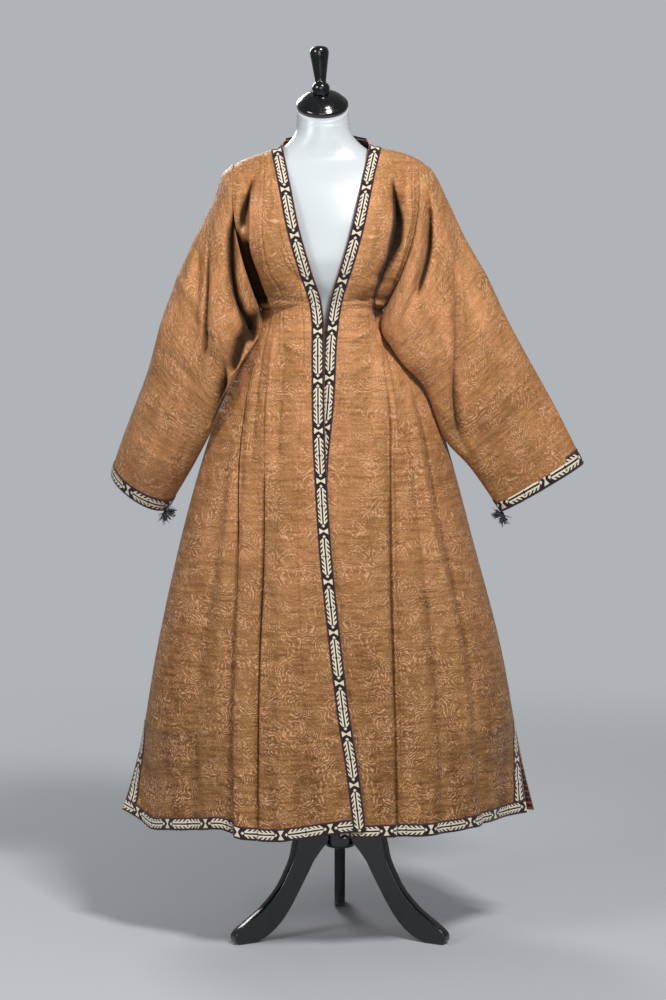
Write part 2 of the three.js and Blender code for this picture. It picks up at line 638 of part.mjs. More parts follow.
// A solid for cutting and joining, and back.
function solid(geometry) {
  const bare = new THREE.BufferGeometry().setAttribute("position", geometry.getAttribute("position"));
  if (geometry.index) bare.setIndex(geometry.index);
  const merged = mergeVertices(bare, 1e-4);
  return new wasm.Manifold(
    new wasm.Mesh({
      numProp: 3,
      vertProperties: merged.getAttribute("position").array,
      triVerts: new Uint32Array(merged.index.array),
    }),
  );
}
function geometryOf(made) {
  const { vertProperties, triVerts } = made.getMesh();
  const geometry = new THREE.BufferGeometry();
  geometry.setAttribute("position", new THREE.Float32BufferAttribute(vertProperties, 3));
  geometry.setIndex(new THREE.BufferAttribute(new Uint32Array(triVerts), 1));
  return geometry;
}

const FINISH = {
  cloth: { color: "#a8713f", roughness: 0.75, metalness: 0.1 },
  band: { color: "#2a1a1e", roughness: 0.9, metalness: 0 },
  lining: { color: "#3a1e12", roughness: 0.85, metalness: 0 },
  yarn: { color: "#1a2230", roughness: 0.95, metalness: 0 },
  form: { color: "#e9edee", roughness: 0.7, metalness: 0 },
  black: { color: "#141414", roughness: 0.25, metalness: 0 },
};
const robe = new THREE.Group();
function add(name, geometry, finish) {
  const mesh = new THREE.Mesh(geometry, new THREE.MeshStandardMaterial(FINISH[finish]));
  mesh.name = name;
  robe.add(mesh);
  return mesh;
}

// Normals where two pieces meet are shared, so that their walls don't cross.
const RIDGE_TILT = 0.12;
const RIDGE_GAP = 0.6;
function shareSeams(sheet, face, sides) {
  const { grid, normals } = sheet;
  const skirt = SKIRT_ROWS.length;
  for (let r = 0; r <= skirt; r++) {
    for (const [column, sign] of sides) normals[r].at(column).set(sign, 0, 0.1).normalize();
  }
  const top = grid.length - 1;
  grid[top].forEach((point, c) => {
    if (Math.abs(point.y) > SEAM + 0.01) return;
    point.y = face * RIDGE_GAP;
    normals[top][c].set(point.x < axisX(point.z) ? -0.3 : 0.3, face * RIDGE_TILT, 1).normalize();
  });
  return sheet;
}

const fronts = {};
for (const [side, sign] of [["right", -1], ["left", 1]]) {
  const grid = frontPanel(side);
  const sheet = { grid, normals: normalsOf(grid, false) };
  fronts[side] = shareSeams(sheet, -1, [[-1, sign]]);
  const last = grid[0].length;
  add(`${side}_front`, wall(sheet, 0, -CLOTH), "cloth");
  add(`front_band_${side}`, wall(strip(sheet, [1, undefined], [0, 2]), BAND_TOP, BAND_LIFT), "band");
  add(`hem_band_${side}`, wall(strip(sheet, [0, 2], [0, last - 1]), BAND_TOP, BAND_LIFT), "band");
  const slitBand = strip(sheet, [0, SKIRT_ROWS.indexOf(SLIT_TOP_Z) + 1], [last - 2, last]);
  add(`slit_band_${side}_front`, wall(slitBand, BAND_TOP, BAND_LIFT), "band");
}

const SLIT_ROWS = SKIRT_ROWS.indexOf(SLIT_TOP_Z) + 1;
const backGrid = backPanel();
const back = shareSeams({ grid: backGrid, normals: normalsOf(backGrid, false) }, 1, [[0, -1], [-1, 1]]);
add("back", wall(back, 0, -CLOTH), "cloth");
add("hem_band_back", wall(strip(back, [0, 2], [1, -1]), BAND_TOP, BAND_LIFT), "band");
add("slit_band_right_back", wall(strip(back, [0, SLIT_ROWS], [0, 2]), BAND_TOP, BAND_LIFT), "band");
add("slit_band_left_back", wall(strip(back, [0, SLIT_ROWS], [-2]), BAND_TOP, BAND_LIFT), "band");
const LINING_LIFT = [-CLOTH - SEAM, -CLOTH - SEAM - 1];
add("back_lining", wall(strip(back, [0, SLIT_ROWS], [0, undefined]), ...LINING_LIFT), "lining");

// The band round the back of the neck stands on the back's top edge, low at its ends.
const COLLAR_ENDS = 9;
const collarBase = backGrid.at(-1).filter((p) => p.y > RIDGE_GAP + SEAM);
const collarRows = [0, 0.5, 1].map((share) =>
  collarBase.map((p, n) => {
    const height = mix(COLLAR_ENDS, COLLAR_HEIGHT, Math.sin((Math.PI * n) / (collarBase.length - 1)) ** 0.6);
    return vec(p.x, p.y, p.z + SEAM + height * share);
  }),
);
const collar = { grid: collarRows, normals: normalsOf(collarRows, false) };
add("back_neck_band", wall(collar, 0, -BAND_TOP), "band");

// Sleeves start just outside the armhole.
const ARMHOLE_GAPS = { right: [1.2, 1], left: [0.9, 1] };
for (const [side, sign] of [["right", -1], ["left", 1]]) {
  const grid = SLEEVE_SECTIONS.map((section) => sleeveRing(side, section));
  grid.slice(0, 2).forEach((ring, n) => ring.forEach((p) => (p.x += sign * ARMHOLE_GAPS[side][n])));
  const sheet = { grid, normals: normalsOf(grid, true), closed: true };
  add(`${side}_sleeve`, wall(sheet, 0, -CLOTH), "cloth");
  add(`cuff_band_${side}`, wall(strip(sheet, [-CUFF_BAND_ROWS, undefined]), BAND_TOP, BAND_LIFT), "band");
  const [before, corner] = grid.slice(-2).map((ring) => ring[BODICE_ROWS.length - 1]);
  add(`tassel_${side}`, tassel(corner, corner.clone().sub(before).normalize(), sign), "yarn");
}

// A tassel at a cuff's corner: a small head on the sleeve's own line, and strands that fan out of it, down and
// towards the body.
function tassel(corner, line, sign) {
  const turned = (geometry, direction, from) => {
    const turn = new THREE.Quaternion().setFromUnitVectors(vec(0, -1, 0), direction);
    return geometry.applyQuaternion(turn).translate(from.x, from.y, from.z);
  };
  const down = vec(-sign * 0.55, -0.15, -0.8).normalize();
  const start = corner.clone().addScaledVector(line, 2 * SEAM);
  const headLength = 7;
  const head = new THREE.CylinderGeometry(TASSEL_HEAD * 0.7, TASSEL_HEAD, headLength, 8);
  let made = solid(turned(head.translate(0, -headLength / 2, 0), line, start));
  const root = start.clone().addScaledVector(line, headLength * 0.7);
  for (let n = 0; n < TASSEL_STRANDS; n++) {
    const angle = n * 2.4;
    const spread = 0.16 + 0.5 * Math.sqrt(n / TASSEL_STRANDS);
    const length = TASSEL_LENGTH * (0.75 + 0.25 * Math.cos(3 * n));
    const side = vec(Math.cos(angle), Math.sin(angle), 0.4 * Math.sin(2 * angle));
    const strand = new THREE.CylinderGeometry(0.9, 0.7, length, 4).translate(0, -length / 2, 0);
    made = made.add(solid(turned(strand, down.clone().addScaledVector(side, spread).normalize(), root)));
  }
  return geometryOf(made);
}

// A solid through closed rings of points, with flat ends.
function loft(rings) {
  const count = rings[0].length;
  const position = rings.flat().flatMap((p) => p.toArray());
  const index = [];
  for (let r = 0; r < rings.length - 1; r++) {
    for (let c = 0; c < count; c++) {
      const [a, b] = [r * count + c, r * count + ((c + 1) % count)];
      index.push(a, b, b + count, a, b + count, a + count);
    }
  }
  for (const [ring, turn] of [[0, 1], [rings.length - 1, 0]]) {
    const centre = vec(0, 0, 0);
    rings[ring].forEach((p) => centre.addScaledVector(p, 1 / count));
    position.push(...centre.toArray());
    const middle = position.length / 3 - 1;
    for (let c = 0; c < count; c++) {
      const edge = [ring * count + c, ring * count + ((c + 1) % count)];
      index.push(middle, edge[turn], edge[1 - turn]);
    }
  }
  return outwards(position, index);
}

// The dress form's torso and neck: rounded rings up the leaning axis, the last cut at the cap's tilt.
function torso() {
  const neckTop = CAP_MIDDLE[2] - (CAP_UNDER + SEAM) / Math.cos(CAP_TILT);
  const ring = (level, cut) => {
    const power = 2 / (level > 1558 ? 2 : FORM_DEPTH_POWER);
    const rounded = (value) => Math.sign(value) * Math.abs(value) ** power;
    return Array.from({ length: FORM_POINTS }, (_, n) => {
      const angle = (2 * Math.PI * n) / FORM_POINTS;
      const depth = read(FORM, level, Math.sin(angle) < 0 ? "front" : "back");
      const y = depth * rounded(Math.sin(angle));
      const z = cut ? level + (y - CAP_MIDDLE[1]) * Math.tan(CAP_TILT) : level;
      return vec(axisX(level) + read(FORM, level, "half") * rounded(Math.cos(angle)), y, z);
    });
  };
  return loft([...FORM_LEVELS.map((level) => ring(level, false)), ring(neckTop, true)]);
}
add("torso", torso(), "form");

const upright = (outline, segments) =>
  new THREE.LatheGeometry(outline.map(([r, z]) => new THREE.Vector2(r, z)), segments).rotateX(Math.PI / 2);
const capSolid = (grow) => {
  const rim = 5;
  const dome = [1, 2, 3, 4].map((n) => {
    const turn = (n / 5) * (Math.PI / 2);
    return [(CAP_RADIUS - 3 + grow) * Math.cos(turn), rim + (CAP_DOME - rim + grow) * Math.sin(turn)];
  });
  const outline = [[0, -CAP_UNDER - grow], [CAP_RADIUS - 2 + grow, -CAP_UNDER - grow],
    [CAP_RADIUS + grow, -CAP_UNDER + 2], [CAP_RADIUS + grow, rim - 1], ...dome, [0, CAP_DOME + grow]];
  return upright(outline, 26).rotateX(CAP_TILT).translate(...CAP_MIDDLE);
};
add("neck_cap", capSolid(0), "black");
const handle = upright(HANDLE_OUTLINE, 16).rotateY(HANDLE_LEAN).translate(...HANDLE_FOOT);
add("cap_handle", geometryOf(solid(handle).subtract(solid(capSolid(SEAM)))), "black");

const poleTop = FORM_LEVELS[0] - SEAM;
const poleFoot = HUB_Z[1] + SEAM;
const pole = new THREE.CylinderGeometry(POLE_RADIUS, POLE_RADIUS, poleTop - poleFoot, 20).rotateX(Math.PI / 2);
add("pole", pole.translate(0, 0, (poleTop + poleFoot) / 2), "black");
const hubOutline = [[0, HUB_Z[0]], [HUB_RADIUS - HUB_CHAMFER, HUB_Z[0]], [HUB_RADIUS, HUB_Z[0] + HUB_CHAMFER],
  [HUB_RADIUS, HUB_Z[1] - HUB_CHAMFER], [HUB_RADIUS - HUB_CHAMFER, HUB_Z[1]], [0, HUB_Z[1]]];
add("hub", upright(hubOutline, 24), "black");

// A leg's sawn outline, out from the axis and up, cut from board of one thickness.
const points2 = (pairs) => pairs.map(([r, z]) => new THREE.Vector2(r, z));
const legOutline = new THREE.Shape().moveTo(HUB_RADIUS + SEAM, LEG_TOP[0]);
legOutline.splineThru(points2([...LEG_INSIDE, [LEG_FOOT[0], 0]]));
legOutline.lineTo(LEG_FOOT[1], 0).splineThru(points2([...LEG_OUTSIDE, [HUB_RADIUS + SEAM, LEG_TOP[1]]]));
for (const [name, degrees] of Object.entries(LEG_ANGLES)) {
  const board = new THREE.ExtrudeGeometry(legOutline, { depth: LEG_THICKNESS, bevelEnabled: false, curveSegments: 3 });
  board.rotateX(Math.PI / 2).translate(0, LEG_THICKNESS / 2, 0);
  add(name, board.rotateZ(THREE.MathUtils.degToRad(degrees)), "black");
}

// The part's frame starts on the floor, in the middle of the part's box.
const middle = new THREE.Box3().setFromObject(robe).getCenter(vec(0, 0, 0));
for (const mesh of robe.children) mesh.geometry.translate(-middle.x, -middle.y, 0);

export default robe;
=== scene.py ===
"""The looks of a chapan, a long Central Asian robe, worn by a limbless dress form on a three-legged stand.

Sizes are in millimetres from the stand's axis on the floor, with X to the viewer's right, Y away from the
viewer and Z up. Right and left in the names are the wearer's: the right front is on the viewer's left, lapped
over the left one.
"""

import bpy
import numpy as np
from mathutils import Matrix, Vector


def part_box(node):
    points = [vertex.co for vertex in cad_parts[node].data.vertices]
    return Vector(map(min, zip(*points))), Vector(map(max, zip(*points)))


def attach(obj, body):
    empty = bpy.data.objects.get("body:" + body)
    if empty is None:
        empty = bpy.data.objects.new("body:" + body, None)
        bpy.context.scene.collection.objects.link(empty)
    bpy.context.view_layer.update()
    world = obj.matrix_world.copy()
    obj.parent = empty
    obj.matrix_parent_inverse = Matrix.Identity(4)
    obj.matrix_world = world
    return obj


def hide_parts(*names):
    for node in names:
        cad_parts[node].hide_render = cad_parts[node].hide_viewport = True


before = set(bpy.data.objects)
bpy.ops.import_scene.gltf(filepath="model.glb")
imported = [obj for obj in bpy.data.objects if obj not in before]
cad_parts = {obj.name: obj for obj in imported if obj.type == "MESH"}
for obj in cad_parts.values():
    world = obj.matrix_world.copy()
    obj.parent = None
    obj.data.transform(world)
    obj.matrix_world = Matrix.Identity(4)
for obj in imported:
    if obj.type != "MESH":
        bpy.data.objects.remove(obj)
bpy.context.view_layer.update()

# Hub and pole of the stand: a thick round block with two cut grooves, and a plain rod glued into it, which
# carries the dress form. Both are turned from beech on a lathe, stained black and lacquered until they
# shine.
MM = 0.001
pole_low, pole_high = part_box("pole")
STAND = np.array([(pole_low.x + pole_high.x) / 2, (pole_low.y + pole_high.y) / 2, 0]) / MM
HUB_OUTLINE = [(0.2, 170), (24, 170), (29, 171.5), (32, 177), (32, 200), (30.6, 203), (32, 206), (32, 256),
               (30.6, 259), (32, 262), (32, 285), (29, 290.5), (24, 292), (0.2, 292)]
POLE_OUTLINE = [(0.2, 292.4), (13.6, 292.4), (14, 293), (14, 900), (14, 904), (13.6, 904.7), (0.2, 904.7)]
TURNED_RINGS, TURNED_POINTS = 70, 72
GRAIN, DUST = 16.0, 4.0


def linear(code):
    """A linear colour from an sRGB hex code."""
    values = np.array([int(code[i : i + 2], 16) for i in (1, 3, 5)]) / 255
    values = np.where(values <= 0.04045, values / 12.92, ((values + 0.055) / 1.055) ** 2.4)
    return [*values.tolist(), 1]


def per_metre(size):
    """The texture scale that makes its features this many millimetres wide on coordinates in metres."""
    return 1000 / size


def plug(tree, made, sockets):
    """Links the sockets that are given another node's output, and sets the others."""
    for socket, value in sockets.items():
        if isinstance(value, bpy.types.NodeSocket):
            tree.links.new(value, made.inputs[socket])
        else:
            made.inputs[socket].default_value = value


def node(tree, kind, values=(), out=0, **settings):
    """Adds a node with its settings, fills its sockets in order or by name, and gives one of its outputs."""
    made = tree.nodes.new("ShaderNode" + kind)
    for field, value in settings.items():
        setattr(made, field, value)
    plug(tree, made, values if isinstance(values, dict) else dict(enumerate(values)))
    return made.outputs[out]


def finish(name, **sockets):
    """A new material, its tree and its shader, with the shader's own sockets set."""
    made = bpy.data.materials.new(name)
    made.use_nodes = True
    tree = made.node_tree
    shader = tree.nodes["Principled BSDF"]
    plug(tree, shader, {socket.replace("_", " "): value for socket, value in sockets.items()})
    return made, tree, shader


TIMES, PLUS, LESS = {"operation": "MULTIPLY"}, {"operation": "ADD"}, {"operation": "SUBTRACT"}
RISE = {"interpolation_type": "SMOOTHSTEP"}
COLOURS = {"data_type": "RGBA"}

# Black lacquer on beech, brushed and rubbed: a sharp gloss over a deep black, with the wood's long grain
# just telling in it and fine dust that dulls it in spots.
LACQUER, tree, shader = finish("black_lacquered_beech", IOR=1.5, Coat_Weight=0.5, Coat_Roughness=0.06)
spot = node(tree, "TexCoord", out="Object")
long_grain = node(tree, "VectorMath", (spot, (1.0, 1.0, 0.12)), **TIMES)
grain = node(tree, "TexNoise", {"Vector": long_grain, "Scale": per_metre(GRAIN), "Detail": 4.0})
dust = node(tree, "TexNoise", {"Vector": spot, "Scale": per_metre(DUST), "Detail": 3.0})
streak = node(tree, "MapRange", (grain, 0.4, 0.7), **RISE)
plug(tree, shader, {
    "Base Color": node(tree, "Mix", {0: streak, 6: linear("#070708"), 7: linear("#101012")}, 2, **COLOURS),
    "Roughness": node(tree, "MapRange", (dust, 0.35, 0.75, 0.12, 0.3), **RISE),
    "Normal": node(tree, "Bump", {"Distance": 0.4 * MM, "Height": grain}),
})


def mix(a, b, t):
    """The value a share t of the way from a to b."""
    return a + (b - a) * t


def table(columns, *rows):
    """A table: the names of its columns, the first of which is its key, and its rows in the order of that
    key."""
    return columns.split(), np.array(rows, float)


def read(columns_and_rows, key, name):
    """A column of a table at a key: a cubic curve through the rows, whose slope at a row is the harmonic
    mean of the slopes on its two sides, or none where they differ in sign, so that it never overshoots the
    rows."""
    columns, rows = columns_and_rows
    keys, values = rows[:, 0], rows[:, columns.index(name)]
    slopes = np.diff(values) / np.diff(keys)
    tangents = np.concatenate([slopes[:1], np.zeros(len(keys) - 2), slopes[-1:]])
    before, after = slopes[:-1], slopes[1:]
    same = before * after > 0
    tangents[1:-1][same] = 2 * before[same] * after[same] / (before + after)[same]
    key = np.clip(key, keys[0], keys[-1])
    i = np.clip(np.searchsorted(keys, key, side="right") - 1, 0, len(keys) - 2)
    step = np.diff(keys)[i]
    t = (key - keys[i]) / step
    start = (2 * t**3 - 3 * t**2 + 1) * values[i] + (t**3 - 2 * t**2 + t) * step * tangents[i]
    end = (3 * t**2 - 2 * t**3) * values[i + 1] + (t**3 - t**2) * step * tangents[i + 1]
    return start + end


def make_object(name, points, faces, material, uvs=None, painted_shade=None):
    """An object from points in millimetres, with the UV of each face's corners in metres, and the painted
    shade of each point from 0 to 1, darkest deep in a fold."""
    mesh = bpy.data.meshes.new(name)
    mesh.from_pydata((points + STAND) * MM, [], faces)
    if uvs is not None:
        layer = mesh.uv_layers.new(name="UV")
        layer.data.foreach_set("uv", (uvs * MM).astype(np.float32).ravel())
    if painted_shade is not None:
        depth = mesh.attributes.new(name="painted_shade", type="FLOAT", domain="POINT")
        depth.data.foreach_set("value", painted_shade.astype(np.float32).ravel())
    mesh.shade_smooth()
    mesh.materials.append(material)
    made = bpy.data.objects.new(name, mesh)
    bpy.context.scene.collection.objects.link(made)
    return made


def stands_for(made, slot, *nodes):
    """Fixes a piece to the object's one body and hides the nodes that it stands for; slot is not used."""
    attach(made, "root")
    if nodes:
        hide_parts(*nodes)
    return made


def quads(rows, columns, closed):
    """Four-cornered faces between the points of a grid, row by row, and round it where it is closed."""
    r, c = np.meshgrid(np.arange(rows - 1), np.arange(columns if closed else columns - 1), indexing="ij")
    ahead = (c + 1) % columns
    return np.stack([r * columns + c, r * columns + ahead, (r + 1) * columns + ahead, (r + 1) * columns + c],
                    -1).reshape(-1, 4)


def closed_rings(name, grid, material, slot, *nodes):
    """A solid from closed rings, with a flat end on the first and on the last."""
    rows, columns = grid.shape[:2]
    ends = [list(range(columns))[::-1], list(range((rows - 1) * columns, rows * columns))]
    made = make_object(name, grid.reshape(-1, 3), quads(rows, columns, True).tolist() + ends, material)
    for end in made.data.polygons[-2:]:
        end.use_smooth = False
    return stands_for(made, slot, *nodes)


def turned(part, outline, place=(0, 0, 0), tilt=0.0, lean=0.0):
    """A profile of radius and height turned round Z, then tilted round X, leant round Y and moved to its
    place."""
    outline = np.array(outline, float)
    run = np.concatenate([[0], np.cumsum(np.linalg.norm(np.diff(outline, axis=0), axis=1))])
    step = np.unique(np.concatenate([run, np.linspace(0, run[-1], TURNED_RINGS)]))
    curve = table("run r z", *np.column_stack([run, outline]))
    radius, height = read(curve, step, "r")[:, None], read(curve, step, "z")[:, None]
    angle = np.linspace(0, 2 * np.pi, TURNED_POINTS, endpoint=False)[None]
    x, y, z = radius * np.cos(angle), radius * np.sin(angle), height + 0 * angle
    y, z = y * np.cos(tilt) - z * np.sin(tilt), y * np.sin(tilt) + z * np.cos(tilt)
    x, z = x * np.cos(lean) + z * np.sin(lean), -x * np.sin(lean) + z * np.cos(lean)
    grid = np.stack([x, y, z], 2) + np.array(place)
    return closed_rings(f"{part}_turned", grid, LACQUER, "black_lacquer", part)


turned("hub", HUB_OUTLINE)
turned("pole", POLE_OUTLINE)

# Legs of the stand: three boards of beech, sawn to the same S-shaped outline, rounded along their edges,
# lacquered like the hub and dowelled to it at equal angles.
LEG_THICKNESS = 22
LEG_ROUNDING = 3.5
HUB_RADIUS = 32.3
LEG_INSIDE = [(HUB_RADIUS, 186), (62, 154), (78, 128), (96, 98), (118, 63), (140, 35), (169, 12), (200, 0)]
LEG_OUTSIDE = [(234, 0), (243, 8), (240, 24), (210, 45), (178, 66), (145, 98), (125, 130), (112, 158),
               (103, 195), (90, 236), (66, 268), (HUB_RADIUS, 288)]
LEG_ANGLES = {"leg_front_right": 210, "leg_front_left": 330, "leg_back": 90}


def curve_through(points, per_space=6):
    """A smooth curve through points in a plane: between two of them a cubic, whose slope at each is that of
    the line between its neighbours."""
    p = np.array([points[0], *points, points[-1]], float)[:, None]
    a, b, c, d = p[:-3], p[1:-2], p[2:-1], p[3:]
    t = np.linspace(0, 1, per_space, endpoint=False)[None, :, None]
    found = b + (c - a) * t / 2 + (2 * a - 5 * b + 4 * c - d) * t**2 / 2 + (3 * b - a - 3 * c + d) * t**3 / 2
    return np.concatenate([found.reshape(-1, 2), p[-1]])


leg_outline = np.concatenate([curve_through(LEG_INSIDE), curve_through(LEG_OUTSIDE)])
for name, degrees in LEG_ANGLES.items():
    ahead = np.array([np.cos(np.radians(degrees)), np.sin(np.radians(degrees)), 0])
    aside = np.array([-ahead[1], ahead[0], 0]) * LEG_THICKNESS / 2
    board = leg_outline[:, :1] * ahead + leg_outline[:, 1:] * np.array([0, 0, 1])
    faces = np.stack([board - aside, board + aside])
    made = closed_rings(f"{name}_board", faces, LACQUER, "black_lacquer", name)
    rounded = made.modifiers.new("rounded", "BEVEL")
    rounded.width = LEG_ROUNDING * MM
    rounded.segments = 4
    rounded.limit_method = "ANGLE"

# Dress form: a torso and neck with no limbs, moulded hollow from glass fibre in a polished mould and left in
# its smooth white gelcoat. It stands on the pole, leaning a little to the viewer's left.
STAND_LEAN = -35 / 1490
LEAN_FROM_Z = 170
FORM_RING = 96
FORM_LOW_Z = 905
FORM = table(
    "z half front back",
    (FORM_LOW_Z, 158, 96, 104), (965, 172, 112, 120), (1040, 160, 108, 120), (1110, 132, 96, 104),
    (1165, 106, 90, 90), (1215, 99, 90, 90), (1262, 98, 94, 92), (1310, 116, 112, 92), (1350, 132, 118, 94),
    (1400, 144, 112, 98), (1450, 158, 100, 100), (1490, 170, 86, 92), (1520, 168, 70, 82),
    (1537, 151, 59, 73), (1548, 128, 53, 67), (1558, 105, 51, 63), (1568, 90, 50, 58), (1576, 79, 50, 56),
    (1584, 70, 50, 55), (1596, 59.5, 49.5, 53), (1610, 54, 49, 52), (1660, 50.5, 47, 50),
)
CAP_MIDDLE = np.array([-35, 2, 1659.0])
CAP_TILT = np.radians(31)
CAP_UNDER = 6
NECK_FROM = 1605
STAIN, RIPPLE = 140.0, 35.0

# White gelcoat, moulded and polished: a soft gloss on an even white, with faint ripples and a breath of
# grey.
FORM_COVER, tree, shader = finish("moulded_white_gelcoat", Roughness=0.3, IOR=1.5)
spot = node(tree, "TexCoord", out="Object")
stain = node(tree, "TexNoise", {"Vector": spot, "Scale": per_metre(STAIN), "Detail": 3.0})
ripple = node(tree, "TexNoise", {"Vector": spot, "Scale": per_metre(RIPPLE), "Detail": 2.0})
stain = node(tree, "MapRange", (stain, 0.3, 0.7, 0.0, 0.5), **RISE)
plug(tree, shader, {
    "Base Color": node(tree, "Mix", {0: stain, 6: linear("#B5BABC"), 7: linear("#AEB3B6")}, 2, **COLOURS),
    "Normal": node(tree, "Bump", {"Distance": 0.2 * MM, "Height": ripple}),
})


def smooth(x, low, high):
    """0 up to low, 1 from high, and an S-shaped rise between them."""
    t = np.clip((x - low) / (high - low), 0, 1)
    return t * t * (3 - 2 * t)


def axis_x(z):
    """X of the form's leaning axis at a height."""
    return STAND_LEAN * (z - LEAN_FROM_Z)


def form_grid():
    """Rings of the form: superellipses of the tables' half width and depths, which turn round towards the
    neck, and whose planes tilt little by little there to the cap's own tilt."""
    neck_top = CAP_MIDDLE[2] - (CAP_UNDER + 0.3) / np.cos(CAP_TILT)
    heights = [np.linspace(FORM_LOW_Z, 1500, 90), np.linspace(1503, NECK_FROM, 40)]
    z = np.concatenate([*heights, np.linspace(NECK_FROM + 3, neck_top, 16)])[:, None]
    tilt = smooth(z, NECK_FROM, neck_top) * np.tan(CAP_TILT)
    angle = np.linspace(0, 2 * np.pi, FORM_RING, endpoint=False)[None]
    power = 2 / mix(2.3, 2.0, smooth(z, 1530, 1575))
    wide = np.sign(np.cos(angle)) * np.abs(np.cos(angle)) ** power
    deep = np.sign(np.sin(angle)) * np.abs(np.sin(angle)) ** power
    y = np.where(np.sin(angle) < 0, read(FORM, z, "front"), read(FORM, z, "back")) * deep
    return np.stack([axis_x(z) + read(FORM, z, "half") * wide, y, z + (y - CAP_MIDDLE[1]) * tilt], 2)


closed_rings("torso_cover", form_grid(), FORM_COVER, "form_cover", "torso")

# Neck cap and its handle: a low domed disc that closes the neck and a slim knob to lift the form by, both
# turned from beech and lacquered black. The cap is screwed down, tilted forward with the neck, and the
# handle into it.
CAP_OUTLINE = [(0.2, -6), (44, -6), (49, -5.6), (51, -3.5), (51.5, -0.5), (51.4, 2), (50, 4.6), (47.5, 6.6),
               (45, 9), (41, 13), (34, 17.6), (25, 21.2), (14, 23.4), (5, 24), (0.2, 24)]
HANDLE_OUTLINE = [(0.2, 3), (13, 3), (15.6, 8), (17.4, 14), (17.8, 18), (17.2, 22), (15, 26), (11.8, 29),
                  (11, 31), (11.1, 34), (12.4, 43), (14.4, 57), (16.6, 72), (18.6, 85), (18.9, 89),
                  (18.2, 93.5), (16.2, 97.2), (12, 100), (6, 101.6), (0.2, 102)]
HANDLE_FOOT = (-37.4, -8, 1672)
HANDLE_LEAN = np.radians(-2.4)
turned("neck_cap", CAP_OUTLINE, CAP_MIDDLE, tilt=CAP_TILT)
turned("cap_handle", HANDLE_OUTLINE, HANDLE_FOOT, lean=HANDLE_LEAN)

# Fronts of the robe: two panels of silk brocade, each cut in one with its gores and lined with striped
# cotton, the right one lapped over the left and pinned at the waist. Seams, one deep pleat in each and the
# sharp folds of stiff silk run down them; a sewn waist seam crosses them.
CLOTH = 1.8
BAND_WIDTH = 25
HEM_Z, UNDERARM_Z, SLIT_TOP_Z, WAIST_Z = 240, 1250, 425, 1266
BAND_TOP_Z = HEM_Z + BAND_WIDTH
ROWS_IN_BAND, ROWS_AT_SLIT, ROWS_OVER_SLIT, ROWS_OF_ARMHOLE = 8, 32, 180, 105
SHOULDER_LOW, SHOULDER_HIGH, HALVINGS = 1500.0, 1600.0, 30
OVERLAP_LIFT = 7
CURL_WIDTH = 70
SAMPLES = 240
# The robe's outline, which all its panels share: half widths on both sides of the leaning axis, depth before
# and behind it, and the power of the superellipse that joins them.
GIRTH = table(
    "z left right front back power",
    (200, 438, 404, 256, 240, 2.15), (366, 398, 366, 238, 224, 2.15), (562, 360, 335, 213, 204, 2.15),
    (790, 305, 281, 181, 180, 2.15), (982, 247, 233, 152, 158, 2.15), (1080, 210, 201, 136, 144, 2.15),
    (1114, 196, 182, 129, 139, 2.15), (1153, 182, 151, 122, 131, 2.15), (1190, 164, 126, 116, 123, 2.15),
    (1215, 151, 117, 112, 118, 2.2), (1238, 136, 112, 109, 112, 2.25), (1250, 132, 111, 108, 109, 2.3),
    (1268, 152, 132, 111, 108, 2.3), (1300, 194, 182, 121, 106, 2.3), (1350, 218, 214, 130, 108, 2.3),
    (1400, 228, 228, 125, 108, 2.3), (1450, 226, 226, 112, 106, 2.3), (1500, 214, 216, 88, 98, 2.3),
    (1525, 198, 210, 70, 90, 2.3), (1541, 176, 200, 58, 82, 2.3), (1552, 153, 184, 54, 76, 2.3),
    (1562, 124, 160, 54, 71, 2.3), (1572, 95, 118, 56, 68, 2.3), (1580, 81.5, 91, 54, 67, 2.3),
    (1610, 66, 80, 52, 66, 2.3),
)
# How each panel stands at its slit: how far apart, how far it curls in, and its step out at the hem.
SLITS = {
    "right_front": (22, 24, 6),
    "left_front": (26, 22, -18),
    "right_back": (22, 8, 0),
    "left_back": (22, 30, 0),
}
# Armholes: X at the shoulder and at the underarm, half their depth, and how far they bow.
ARMHOLES = {"right": (-212, -157, 84, -18), "left": (152, 86, 86, 26)}
SIGNS = {"right": -1, "left": 1}
# How far the cloth sinks along the armhole seam.
GROOVE_WIDTH = 9
GROOVES = {
    "right": table("z depth", (1250, 8), (1275, 24), (1329, 30), (1378, 26), (1410, 12), (1460, 5),
                   (1530, 0)),
    "left": table("z depth", (1250, 6), (1280, 10), (1327, 8), (1375, 5), (1426, 4), (1503, 3), (1535, 0)),
    "back": table("z depth", (1250, 4), (1330, 9), (1430, 8), (1500, 3), (1535, 0)),
}
# The inner edges of the fronts.
EDGES = {
    "right": table("z x", (230, 51), (372, 34), (463, 20), (559, 8), (636, -1), (806, -18), (921, -25),
                   (1038, -30), (1160, -31), (1215, -31), (1264, -36), (1324, -55), (1416, -81), (1500, -98),
                   (1576, -114)),
    "left": table("z x", (230, -3), (463, -27), (636, -43), (806, -51), (930, -49), (1067, -37), (1114, -34),
                  (1170, -32), (1223, -27), (1272, -19), (1338, 1), (1416, 23), (1504, 42), (1576, 58)),
}
